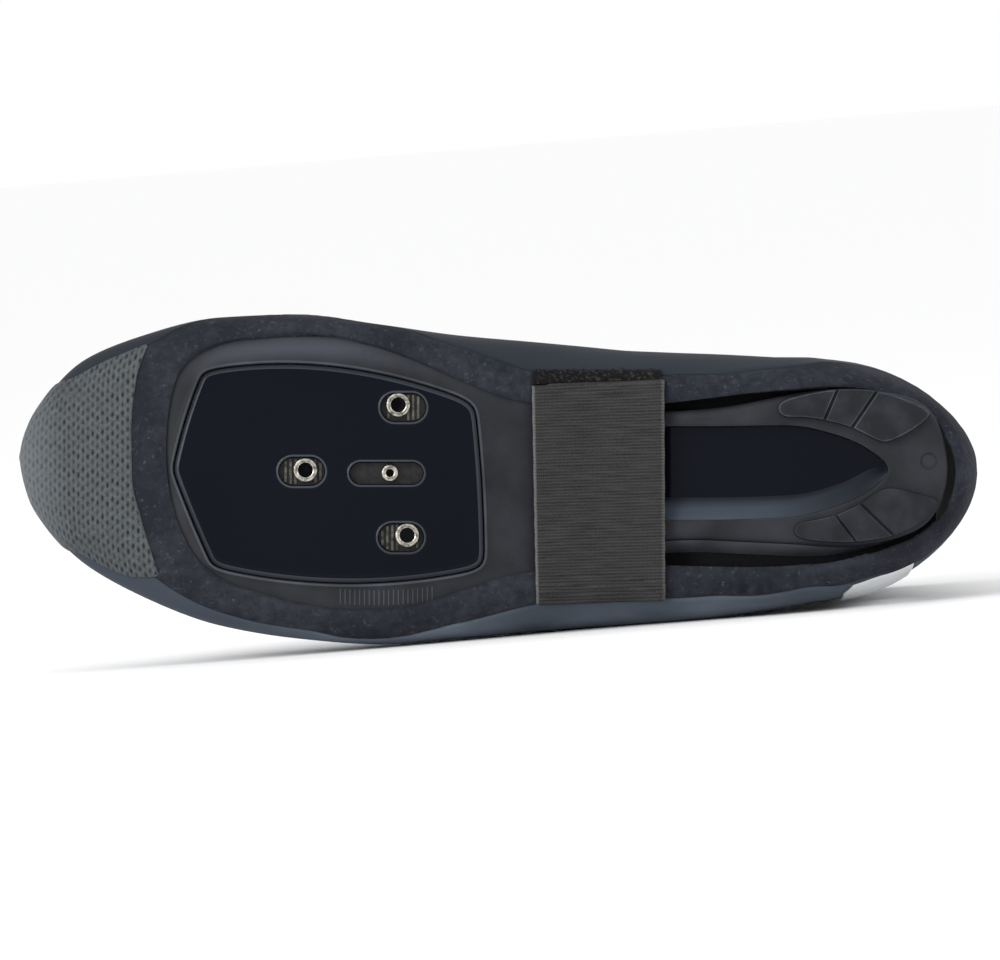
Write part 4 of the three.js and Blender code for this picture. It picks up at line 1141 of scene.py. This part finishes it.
def follow_sole(shaped, height):
    """Cuts a flat piece along and across every few millimetres, and bends it to a line of heights."""
    for cut in (Vector((1, 0, 0)), Vector((0, 1, 0))):
        low = min(v.co.dot(cut) for v in shaped.verts)
        high = max(v.co.dot(cut) for v in shaped.verts)
        count = int((high - low) / BEND_STEP)
        for i in range(1, count):
            bmesh.ops.bisect_plane(
                shaped, geom=[*shaped.verts, *shaped.edges, *shaped.faces], dist=1e-4,
                plane_co=cut * (low + (high - low) * i / count), plane_no=cut,
            )
    for vert in shaped.verts:
        vert.co.z += height(vert.co.x)
    bmesh.ops.recalc_face_normals(shaped, faces=shaped.faces)


def rounded(points, passes):
    """A closed outline with its corners rounded, a little more with each pass."""
    for _ in range(passes):
        points = [
            (points[i - 1] + point * 2 + points[(i + 1) % len(points)]) / 4
            for i, point in enumerate(points)
        ]
    return points


def bowed_loop(corners, steps):
    """A closed outline whose sides are shallow curves, with its corners rounded a little."""
    points = []
    for i, (along, across, bow_along, bow_across) in enumerate(corners):
        a = Vector((along * LENGTH, across * HALF_BALL, 0))
        bow = Vector((bow_along * LENGTH, bow_across * HALF_BALL, 0))
        after = corners[(i + 1) % len(corners)]
        b = Vector((after[0] * LENGTH, after[1] * HALF_BALL, 0))
        for j in range(steps):
            t = j / steps
            points.append(a * (1 - t) ** 2 + bow * 2 * t * (1 - t) + b * t * t)
    return rounded(points, LAND_ROUNDING)


def scoop_loop(lateral_column, steps=50):
    """The outline of the heel scoop, with its lateral side read from one column of its table."""
    alongs = [row[0] for row in SCOOP]
    lateral = smooth_curve(alongs, [row[lateral_column] for row in SCOOP])
    medial = smooth_curve(alongs, [row[2] for row in SCOOP])
    span = alongs[-1] - alongs[0]
    places = [alongs[0] + span * math.sin(i / steps * math.pi / 2) for i in range(steps + 1)]
    there = [Vector((a * LENGTH, lateral(a) * HALF_BALL, 0)) for a in places]
    back_side = [Vector((a * LENGTH, -medial(a) * HALF_BALL, 0)) for a in places]
    loop = there + back_side[-2:0:-1] + [back_side[0]]
    return rounded(spread(loop + loop[:1], SCOOP_POINTS)[:-1], SCOOP_ROUNDING)


sole_loop = smooth_loop(plan_loop(SOLE), SOLE_POINTS)
land_loop = bowed_loop(LAND, LAND_STEPS)
scoop_rim = scoop_loop(1)
frame_edge = ((3.2, 0), (2.6, 0.01), (1.6, 0.12), (0.8, 0.4), (0.25, 0.9), (0, 1.6), (0, FRAME_THICKNESS))
land_edge = (  # distance out from the plate, and depth: a narrow raised lip round the plate
    (3.8, 0), (3.0, -0.01), (2.3, -0.03), (1.6, -0.16), (1.1, -0.38), (0.85, -0.44), (0.6, -0.4),
    (0.42, -0.22), (0.3, 0.15), (0.22, 0.7), (0.2, FRAME_THICKNESS),
)
scoop_edge = ((2.2, 0), (1.3, 0.01), (0.7, 0.06), (0.25, 0.22), (0.05, 0.5), (0, 1.0), (0, FRAME_THICKNESS))
bm = bmesh.new()
outer = [ring(bm, grown(sole_loop, -inset), down) for inset, down in frame_edge]
around_land = [ring(bm, grown(land_loop, out), down) for out, down in land_edge]
around_scoop = [ring(bm, grown(scoop_rim, out), down) for out, down in scoop_edge]
walls(bm, outer)
walls(bm, around_land, painted_highlight=(4, 5, 6))
walls(bm, around_scoop, painted_highlight=(3,))
cover_flat(bm, outer[0], around_land[0], around_scoop[0])
cover_flat(bm, outer[-1], around_land[-1], around_scoop[-1])
follow_sole(bm, frame_bottom)

# The frame's medial shoulder gets a soft band of painted highlight, kept on each point as a share
SHOULDER_ALONG = (46, 64, 85, 100, 115, 135, 155)
SHOULDER_ACROSS = (-30, -38.7, -40.4, -39.5, -36.5, -31, -26)
SHOULDER_SHARE = (0, 0.8, 1, 0.9, 0.5, 0.2, 0)
shoulder = smooth_curve(SHOULDER_ALONG, SHOULDER_ACROSS)
shoulder_share = smooth_curve(SHOULDER_ALONG, SHOULDER_SHARE)
shoulder_highlight = bm.verts.layers.float.new("shoulder_highlight")
for vert in bm.verts:
    if SHOULDER_ALONG[0] < vert.co.x < SHOULDER_ALONG[-1]:
        beside = (vert.co.y - shoulder(vert.co.x)) / 3.0
        vert[shoulder_highlight] = shoulder_share(vert.co.x) * math.exp(-beside * beside)

# Glass-filled nylon, moulded: satin charcoal with a fine spark-eroded grain of about 0.4 mm, clouded
# where it has been handled. Its paler copy, on its lips and rims, is a painted highlight.
frame_finish = []
for name, dark, light in (("moulded nylon", "#1c1d20", "#2e2f34"), ("rubbed nylon", "#303237", "#494c52")):
    nylon, tree, shader, place = new_material(name, Roughness=0.5, Specular_IOR_Level=0.12)
    grain = add_node(tree, "TexNoise", {"Vector": place, "Scale": 2400, "Detail": 2})
    cloud = add_node(tree, "TexNoise", {"Vector": place, "Scale": 60, "Detail": 5})
    tone = add_node(tree, "ValToRGB", {"Fac": cloud}, stops=((0.3, dark), (0.7, light)))
    highlight_painted = add_node(tree, "Attribute", attribute_name="shoulder_highlight")
    paler = add_node(tree, "Mix", {0: highlight_painted.outputs["Fac"], 6: tone, 7: linear("#3f4249")}, data_type="RGBA")
    relief = add_node(tree, "Bump", {"Height": grain, "Strength": 0.2, "Distance": 0.0001})
    set_inputs(tree, shader, {"Base Color": paler.outputs[2], "Normal": relief})
    frame_finish.append(nylon)
finish_piece("sole_frame", bm, frame_finish, ["outsole_frame"], sharp=50)

# Setting marks for the cleat: a row of fine raised ticks on the frame, beside the land
MARK_COUNT = 20
MARK_PITCH = 1.46
MARK_LENGTH = 4.6
MARK_START = 97.0
MARK_MIDDLE = 108
MARK_ACROSS = 35.6
MARK_BOW = 0.0042  # the row follows the curve of the land's edge
bm = bmesh.new()
for i in range(MARK_COUNT):
    x = MARK_START + i * MARK_PITCH
    y = MARK_ACROSS - MARK_BOW * (x - MARK_MIDDLE) ** 2
    size = Matrix.Diagonal((0.42, MARK_LENGTH, 0.3, 1))
    bmesh.ops.create_cube(bm, size=1, matrix=Matrix.Translation((x, y, frame_bottom(x) - 0.05)) @ size)
bmesh.ops.bevel(bm, geom=bm.edges[:], offset=0.08, affect="EDGES", segments=1, profile=0.5, material=-1)
# the ticks take the frame's paler copy, a painted highlight
finish_piece("setting_marks", bm, frame_finish[1], ["outsole_frame"])

# Cleat plate
# A glossy moulded plate let into the frame, with three rounded slots for the cleat's threaded inserts
# and a longer one between them. It runs on under the frame to the heel, as the floor of the scoop.
LAND_DEPTH = 0.6
SLOT_DEPTH = 4.4
SLOTS = (  # place along and across, length and width
    (85.3, -2.6, 14.0, 8.7), (116.0, -21.9, 13.8, 8.7), (115.3, 17.4, 13.8, 8.7), (110.9, -2.0, 22.4, 6.8),
)
land_front = LAND[0][0] * LENGTH
land_back = LAND[3][0] * LENGTH
land_start = frame_bottom(land_front) + LAND_DEPTH
land_rise = (frame_bottom(land_back) + LAND_DEPTH - land_start) / (land_back - land_front)


def land_height(x):
    return land_start + (x - land_front) * land_rise


def slot_loop(x, y, length, width, grow=0.0, steps=14):
    half, radius = (length - width) / 2, width / 2 + grow
    points = []
    for centre, start in ((half, -math.pi / 2), (-half, math.pi / 2)):
        for i in range(steps + 1):
            angle = start + i / steps * math.pi
            points.append(Vector((x + centre + radius * math.cos(angle), y + radius * math.sin(angle), 0)))
    return points


land_profile = ((-2.6, 0), (-2.0, 0.01), (-1.4, 0.05), (-0.7, 0.3), (-0.15, 0.6), (0, 0.8), (0, 6.5))
slot_profile = (
    (1.1, 0), (0.7, -0.01), (0.52, -0.16), (0.3, -0.22), (0.12, -0.12), (0.02, 0.15),
    (0, 0.5), (0, SLOT_DEPTH),
)
bm = bmesh.new()
land_rings = [ring(bm, grown(land_loop, out), down) for out, down in land_profile]
walls(bm, land_rings, painted_highlight=(2, 3))
slot_rims = []
for slot in SLOTS:
    slot_rings = [ring(bm, slot_loop(*slot, grow=out), down) for out, down in slot_profile]
    # the rims' walls take the plate's paler copy, a painted highlight
    walls(bm, slot_rings, painted_highlight=(1, 2, 3, 6))
    slot_rims.append(slot_rings[0])
    cover_flat(bm, slot_rings[-1])
cover_flat(bm, land_rings[0], *slot_rims)
cover_flat(bm, land_rings[-1])
follow_sole(bm, land_height)
plate_back = FRAME_THICKNESS + GAP + PLATE_THICKNESS
for vert in bm.verts:
    vert.co.z = min(vert.co.z, frame_bottom(vert.co.x) + plate_back)

# Moulded and polished nylon with a thin clear coat: almost black, with a blue cast. Its paler copy, round
# its edge and on the rims of its slots, is a painted highlight.
plate_finish = []
for name, dark, light in (
    ("polished nylon", "#04070e", "#080c16"), ("worn polished nylon", "#292d33", "#43474e"),
):
    polished, tree, shader, place = new_material(
        name, Roughness=0.2, Coat_Weight=0.1, Coat_Roughness=0.06, Specular_IOR_Level=0.04,
    )
    swirl = add_node(tree, "TexNoise", {"Vector": place, "Scale": 22, "Detail": 3})
    tone = add_node(tree, "ValToRGB", {"Fac": swirl}, stops=((0, dark), (1, light)))
    set_inputs(tree, shader, {"Base Color": tone})
    plate_finish.append(polished)
finish_piece("cleat_plate", bm, plate_finish, ["sole_plate"], sharp=50)

# The plate runs on behind the frame, and its face is the floor of the scoop. Along the lateral side of
# the waist and heel its edge flares out beyond the frame, as the side wall of the sole.
FLARE_ALONG = (0, 150, 182, 232, 268, 300)
FLARE_SHARE = (0, 0, 1, 1, 0, 0)
FLARE_WIDTH = 3.7
FLARE_RINGS = 7
SHANK_RIM = ((-2.6, 0), (-2.0, 0.005), (0.02, 0.01))
plate_front = FRAME_THICKNESS + GAP
flare_share = smooth_curve(FLARE_ALONG, FLARE_SHARE)
bm = bmesh.new()
edge_rings = [ring(bm, grown(sole_loop, out), plate_front + down) for out, down in SHANK_RIM]
for i in range(FLARE_RINGS + 1):
    t = i / FLARE_RINGS
    loop, downs = [], []
    for a, b in zip(grown(sole_loop, 0.04), grown(sole_loop, FLARE_WIDTH)):
        flare = flare_share(a.x) if a.y > 0 else 0.0
        loop.append(a.lerp(b, flare * t ** 0.8))
        downs.append((plate_front + 0.02) * (1 - flare * 0.75) * (1 - t) + plate_back * t)
    edge_rings.append(ring(bm, [p + Vector((0, 0, down)) for p, down in zip(loop, downs)]))
# the flared side wall takes the frame's paler copy, a painted highlight
walls(bm, edge_rings, painted_highlight=range(3, 12))
hole_rings = [ring(bm, grown(land_loop, 0.06), down) for down in (plate_front, plate_back)]
walls(bm, hole_rings)
cover_flat(bm, edge_rings[0], hole_rings[0])
cover_flat(bm, edge_rings[-1], hole_rings[-1])
follow_sole(bm, frame_bottom)
finish_piece("sole_shank", bm, [plate_finish[0], frame_finish[1]], ["sole_plate"], sharp=50)

# The scoop's lining: a moulded wedge whose lateral side slopes gently from the frame's rim to the floor
SLOPE = ((0.0, 0.25), (0.05, 0.3), (0.25, 0.75), (0.5, 1.55), (0.75, 2.5), (0.92, 3.05), (1.0, 3.27))
scoop_foot = scoop_loop(3)
bm = bmesh.new()
wedge_rings = []
for share, down in SLOPE:
    loop = [a.lerp(b, share) for a, b in zip(grown(scoop_rim, -0.03), grown(scoop_foot, -0.4))]
    wedge_rings.append(ring(bm, loop, down))
wedge_back = ring(bm, grown(scoop_rim, -0.03), SLOPE[-1][1])
walls(bm, [wedge_back, *wedge_rings])
cover_flat(bm, wedge_back, wedge_rings[-1])
for vert in bm.verts:
    vert.co.z += frame_bottom(vert.co.x)
bmesh.ops.recalc_face_normals(bm, faces=bm.faces)

# The same nylon, satin and blue-grey, with painted light and shade: its slope along the waist is lighter, a
# painted reflection, and painted shade darkens it into the heel, on the medial side and at the foot of the
# slope. The shade follows the depth below the sole, kept on each point as a share.
SHADE_TOP = 1.9  # depths below the sole, then places along it
SHADE_SPAN = 1.3
SHADE_START = 222
SHADE_LENGTH = 36
FULL_SHADE = 0.85
shade_share = bm.verts.layers.float.new("shade")
for vert in bm.verts:
    sunk = min(max((vert.co.z - frame_bottom(vert.co.x) - SHADE_TOP) / SHADE_SPAN, 0), 1)
    into_heel = min(max((vert.co.x - SHADE_START) / SHADE_LENGTH, 0), 1)
    at_heel = into_heel * (3 - 2 * into_heel) * into_heel * FULL_SHADE
    vert[shade_share] = max(sunk, at_heel, FULL_SHADE if vert.co.y < 0 else 0)
satin_nylon, tree, shader, place = new_material("satin nylon scoop", Roughness=0.4, Specular_IOR_Level=0.15)
shade = add_node(tree, "Attribute", attribute_name="shade")
cloud = add_node(tree, "TexNoise", {"Vector": place, "Scale": 50, "Detail": 3})
clouded = add_node(tree, "Math", {0: cloud, 1: 0.3, 2: shade.outputs["Fac"]}, operation="MULTIPLY_ADD")
tone = add_node(tree, "ValToRGB", {"Fac": clouded}, stops=((0.1, "#343c46"), (1.0, "#12161f")))
set_inputs(tree, shader, {"Base Color": tone})
finish_piece("heel_scoop", bm, satin_nylon, ["outsole_frame"], sharp=60)

# Threaded inserts
# Turned steel bushes with a chamfered face and an M5 thread, each standing in its slot on a serrated
# steel nut plate. The one between them is smaller.
INSERT_HEIGHT = 2.2
INSERT_SINK = 0.35
THREAD_PITCH = 0.5
INSERTS = (  # node, place along and across, outside and thread radius
    ("insert_front", 86.42, -3.02, 3.6, 2.3), ("insert_rear_medial", 114.47, -22.72, 3.6, 2.3),
    ("insert_rear_lateral", 117.17, 16.68, 3.6, 2.3), ("insert_centre", 111.94, -2.13, 2.5, 1.25),
)


def turned_shape(profile, steps, closed=True):
    """A shape turned round the upright axis, from a profile of radii and depths."""
    shaped = bmesh.new()
    corners = [shaped.verts.new((radius, 0, down)) for radius, down in profile]
    after = corners[1:] + corners[:1] if closed else corners[1:]
    sides = [shaped.edges.new(pair) for pair in zip(corners, after)]
    bmesh.ops.spin(
        shaped, geom=corners + sides, cent=(0, 0, 0), axis=(0, 0, 1), angle=2 * math.pi, steps=steps,
        use_merge=True, use_duplicate=False,
    )
    bmesh.ops.remove_doubles(shaped, verts=shaped.verts, dist=1e-4)
    return shaped


# Turned stainless steel: bright, with fine rings left by the tool and a little tarnish in the hollows
turned_steel, tree, shader, place = new_material("turned stainless steel", Metallic=1.0, Roughness=0.32)
tarnish = add_node(tree, "TexNoise", {"Vector": place, "Scale": 900, "Detail": 4})
tone = add_node(tree, "ValToRGB", {"Fac": tarnish}, stops=((0.3, "#4f4b45"), (0.62, "#bfbbb0")))
shine = add_node(tree, "MapRange", {"Value": tarnish, "To Min": 0.42, "To Max": 0.2})
relief = add_node(tree, "Bump", {"Height": tarnish, "Strength": 0.5, "Distance": 0.0002})
set_inputs(tree, shader, {"Base Color": tone, "Roughness": shine, "Normal": relief})
for node, x, y, outer_radius, thread_radius in INSERTS:
    profile = [
        (thread_radius + 0.55, 0.0), (outer_radius - 0.45, 0.0), (outer_radius - 0.12, 0.1),
        (outer_radius, 0.35), (outer_radius, INSERT_HEIGHT), (thread_radius, INSERT_HEIGHT),
    ]
    for turn in range(3, 0, -1):
        profile.append((thread_radius + 0.3, THREAD_PITCH * (turn + 0.25)))
        profile.append((thread_radius, THREAD_PITCH * (turn - 0.25)))
    profile.append((thread_radius + 0.3, 0.25))
    bm = turned_shape(profile, 44)
    bmesh.ops.recalc_face_normals(bm, faces=bm.faces)
    bmesh.ops.translate(bm, verts=bm.verts, vec=(x, y, land_height(x) + INSERT_SINK))
    finish_piece(node + "_bush", bm, turned_steel, [node], sharp=28)

# The nut plates that the bushes stand on: dark steel with pale serrations across. The middle slot has a
# plain floor.
NUT_FACE = 2.62  # depths below the land
NUT_BACK = 2.86
BAR_DEPTH = 2.45
NUT_CLEARANCE = 0.2
BORE_SIDES = 28
SERRATION_PITCH = 1.5
BARS_ASIDE = 5  # on each side of the bush
bm = bmesh.new()
for (x, y, length, width), (_, bush_x, bush_y, outer_radius, _) in zip(SLOTS, INSERTS):
    serrated = outer_radius > 3
    bore_radius = 2.2 if serrated else 1.0
    angles = [k / BORE_SIDES * math.tau for k in range(BORE_SIDES)]
    bore = [
        Vector((bush_x + bore_radius * math.cos(a), bush_y + bore_radius * math.sin(a), 0)) for a in angles
    ]
    outline = slot_loop(x, y, length, width, grow=-NUT_CLEARANCE)
    outer_rings = [ring(bm, outline, down) for down in (NUT_FACE, NUT_BACK)]
    bore_rings = [ring(bm, bore, down) for down in (NUT_FACE, NUT_BACK)]
    walls(bm, outer_rings)
    walls(bm, bore_rings)
    for pair in zip(outer_rings, bore_rings):
        cover_flat(bm, *pair)
    if not serrated:
        continue
    for k in range(-BARS_ASIDE, BARS_ASIDE + 1):
        bar_x = bush_x + k * SERRATION_PITCH
        off_middle = abs(bar_x - x)
        if off_middle > length / 2 - 1 or abs(bar_x - bush_x) < 3:
            continue
        half_width = math.sqrt((width / 2 - 0.5) ** 2 - max(off_middle - (length - width) / 2, 0) ** 2)
        size = Matrix.Diagonal((0.7, 2 * half_width, 0.5, 1))
        bar = bmesh.ops.create_cube(bm, size=1, matrix=Matrix.Translation((bar_x, y, BAR_DEPTH)) @ size)
        for face in {face for vert in bar["verts"] for face in vert.link_faces}:
            face.material_index = 1
for vert in bm.verts:
    vert.co.z += land_height(vert.co.x)
bmesh.ops.recalc_face_normals(bm, faces=bm.faces)
nut_finish = []
for name, dark, light in (("blackened steel", "#0d0d0f", "#1f1e1e"), ("bared steel", "#211f1c", "#625e56")):
    steel, tree, shader, place = new_material(name, Metallic=0.5, Roughness=0.5)
    stain = add_node(tree, "TexNoise", {"Vector": place, "Scale": 600, "Detail": 3})
    tone = add_node(tree, "ValToRGB", {"Fac": stain}, stops=((0.35, dark), (0.65, light)))
    set_inputs(tree, shader, {"Base Color": tone})
    nut_finish.append(steel)
finish_piece("nut_plates", bm, nut_finish, ["sole_plate"], sharp=28)

# Heel pads
# Two curved rubber treads glued to the heel of the frame, each cut into three lands by narrow grooves.
MEDIAL_PAD = (
    (0.7926, -0.469), (0.8142, -0.516), (0.8524, -0.552), (0.8943, -0.542), (0.9242, -0.489),
    (0.948, -0.405), (0.9337, -0.32), (0.9122, -0.25), (0.9002, -0.232), (0.8859, -0.264),
    (0.8668, -0.32), (0.8381, -0.366), (0.8142, -0.383), (0.7962, -0.39), (0.7906, -0.427),
)
LATERAL_PAD = (
    (0.807, 0.31), (0.8106, 0.269), (0.8285, 0.244), (0.8488, 0.215), (0.8751, 0.149), (0.9002, 0.053),
    (0.9291, 0.074), (0.958, 0.14), (0.9535, 0.19), (0.9337, 0.275), (0.9122, 0.335), (0.8716, 0.376),
    (0.8499, 0.378), (0.8261, 0.366), (0.8118, 0.347),
)
MEDIAL_GROOVES = ((0.8541, -0.579, 0.8366, -0.341), (0.8957, -0.567, 0.8645, -0.298))
LATERAL_GROOVES = ((0.8478, 0.196, 0.8749, 0.403), (0.8733, 0.129, 0.9145, 0.361))
GROOVE_WIDTH = 0.9
GROOVE_DEPTH = 1.3
PAD_BEVEL = 0.45


def tread(name, node, outline, grooves):
    """One heel pad: a thin base over its whole outline, and a raised land between each two grooves."""
    loop = smooth_loop([Vector((a * LENGTH, b * HALF_BALL, 0)) for a, b in outline], 150)
    face_down, base_down = -PAD_THICKNESS - GAP, -PAD_THICKNESS - GAP + GROOVE_DEPTH
    shaped = bmesh.new()
    foot = ring(shaped, grown(loop, 0.25), -0.1)
    base = ring(shaped, loop, base_down)
    walls(shaped, [foot, base])
    cover_flat(shaped, foot)
    cover_flat(shaped, base)
    lands = bmesh.new()
    bmesh.ops.contextual_create(lands, geom=ring(lands, grown(loop, -0.1), base_down + 0.05))
    cuts = []
    for from_along, from_across, to_along, to_across in grooves:
        a = Vector((from_along * LENGTH, from_across * HALF_BALL, 0))
        b = Vector((to_along * LENGTH, to_across * HALF_BALL, 0))
        side = Vector((a.y - b.y, b.x - a.x, 0)).normalized()
        cuts.append((a, side))
        for sign in (-1, 1):
            bmesh.ops.bisect_plane(
                lands, geom=[*lands.verts, *lands.edges, *lands.faces], dist=1e-5,
                plane_co=a + side * sign * GROOVE_WIDTH / 2, plane_no=side,
            )
    in_groove = [
        face for face in lands.faces
        if any(abs((face.calc_center_bounds() - a).dot(side)) < GROOVE_WIDTH / 2 for a, side in cuts)
    ]
    bmesh.ops.delete(lands, geom=in_groove, context="FACES")
    for face in list(lands.faces):
        raised = bmesh.ops.extrude_face_region(lands, geom=[face], use_keep_orig=True)["geom"]
        top_verts = [g for g in raised if isinstance(g, bmesh.types.BMVert)]
        bmesh.ops.translate(lands, verts=top_verts, vec=(0, 0, face_down - base_down - 0.05))
        top_edges = {e for v in top_verts for e in v.link_edges if all(w in top_verts for w in e.verts)}
        bevelled = bmesh.ops.bevel(
            lands, geom=list(top_edges), offset=PAD_BEVEL, affect="EDGES", segments=3, profile=0.5,
            material=-1, clamp_overlap=True,
        )
        # the bevelled edges take the paler copy, a painted highlight
        for rim_face in bevelled["faces"]:
            rim_face.material_index = 1
    merged = bpy.data.meshes.new("lands")
    lands.to_mesh(merged)
    lands.free()
    shaped.from_mesh(merged)
    bpy.data.meshes.remove(merged)
    for vert in shaped.verts:
        vert.co.z += frame_bottom(vert.co.x)
    bmesh.ops.recalc_face_normals(shaped, faces=shaped.faces)
    finish_piece(name, shaped, rubber_finish, [node], sharp=30)


# Moulded polyurethane rubber: matt charcoal, finely grained by its mould; its paler copy is painted highlight
rubber_finish = []
for name, dark, light in (("moulded rubber", "#1f2125", "#2d2f34"), ("worn rubber", "#303338", "#50545a")):
    rubber, tree, shader, place = new_material(name, Roughness=0.65, Specular_IOR_Level=0.1)
    scuff = add_node(tree, "TexNoise", {"Vector": place, "Scale": 160, "Detail": 5})
    tone = add_node(tree, "ValToRGB", {"Fac": scuff}, stops=((0.4, dark), (0.75, light)))
    grain = add_node(tree, "TexNoise", {"Vector": place, "Scale": 2200, "Detail": 2})
    relief = add_node(tree, "Bump", {"Height": grain, "Strength": 0.25, "Distance": 0.0002})
    set_inputs(tree, shader, {"Base Color": tone, "Normal": relief})
    rubber_finish.append(rubber)
tread("medial_tread", "heel_pad_medial", MEDIAL_PAD, MEDIAL_GROOVES)
tread("lateral_tread", "heel_pad_lateral", LATERAL_PAD, LATERAL_GROOVES)

# A plain round dimple in the bridge between the treads, with a raised rim
DIMPLE = (274.6, -5.8)
DIMPLE_PROFILE = (  # distance from its middle, and depth
    (0.0, 0.05), (1.9, 0.0), (2.05, -0.12), (2.25, -0.2), (2.45, -0.16), (2.6, 0.0), (2.6, 0.3), (0.0, 0.3),
)
bm = turned_shape(DIMPLE_PROFILE, 40, closed=False)
for vert in bm.verts:
    vert.co += Vector((*DIMPLE, frame_bottom(DIMPLE[0] + vert.co.x)))
bmesh.ops.recalc_face_normals(bm, faces=bm.faces)
finish_piece("heel_dimple", bm, rubber_finish[0], ["outsole_frame"], sharp=40)

# Insole
# A felted fibre board, cut to the inside of the shoe, that closes the floor. It shows only through the
# ankle opening.
INSOLE_THICKNESS = 3
INSOLE_START = 9
INSOLE_SPAN = 268
INSOLE_ROWS = 120
INSOLE_COLUMNS = 44


def wall_inside(x, height, side):
    """How far the inner face of the cover is from the middle at a place, towards one side."""
    start = Vector((x, -3, height))
    hit, _, _, distance = form.ray_cast(start, Vector((0, side, 0)))
    return start.y + side * (distance - WALL - 2 * GAP) if hit else start.y


insole_sections = []
for i in range(INSOLE_ROWS + 1):
    x = INSOLE_START + INSOLE_SPAN * (1 - math.cos(i / INSOLE_ROWS * math.pi)) / 2
    under = frame_bottom(x) + plate_back + GAP
    lateral_side, medial_side = wall_inside(x, under + 1, 1), wall_inside(x, under + 1, -1)
    lower, upper = [], []
    for j in range(INSOLE_COLUMNS + 1):
        share = -math.cos(j / INSOLE_COLUMNS * math.pi)
        y = (lateral_side + medial_side) / 2 + share * (lateral_side - medial_side) / 2
        edge_rise = 2.0 * abs(share) ** 6
        edge_thin = 1.4 * abs(share) ** 12
        lower.append(Vector((x, y, under)))
        upper.append(Vector((x, y, under + INSOLE_THICKNESS - edge_thin + edge_rise * 0.4)))
    if i in (0, INSOLE_ROWS):
        lower = upper = [a.lerp(b, 0.5) for a, b in zip(lower, upper)]
    insole_sections.append(upper + lower[::-1] + upper[:1])
bm = grid_through(insole_sections)
# Needle-felted polyester: matt, almost black, with a tangled nap
insole_felt, tree, shader, place = new_material(
    "needle-felted polyester", Roughness=0.95, Specular_IOR_Level=0.1,
)
nap = add_node(tree, "TexNoise", {"Vector": place, "Scale": 900, "Detail": 5})
tone = add_node(tree, "ValToRGB", {"Fac": nap}, stops=((0, "#0a0a0c"), (1, "#17181a")))
relief = add_node(tree, "Bump", {"Height": nap, "Strength": 0.6, "Distance": 0.0005})
set_inputs(tree, shader, {"Base Color": tone, "Normal": relief})
finish_piece("insole_board", bm, insole_felt, ["insole"])
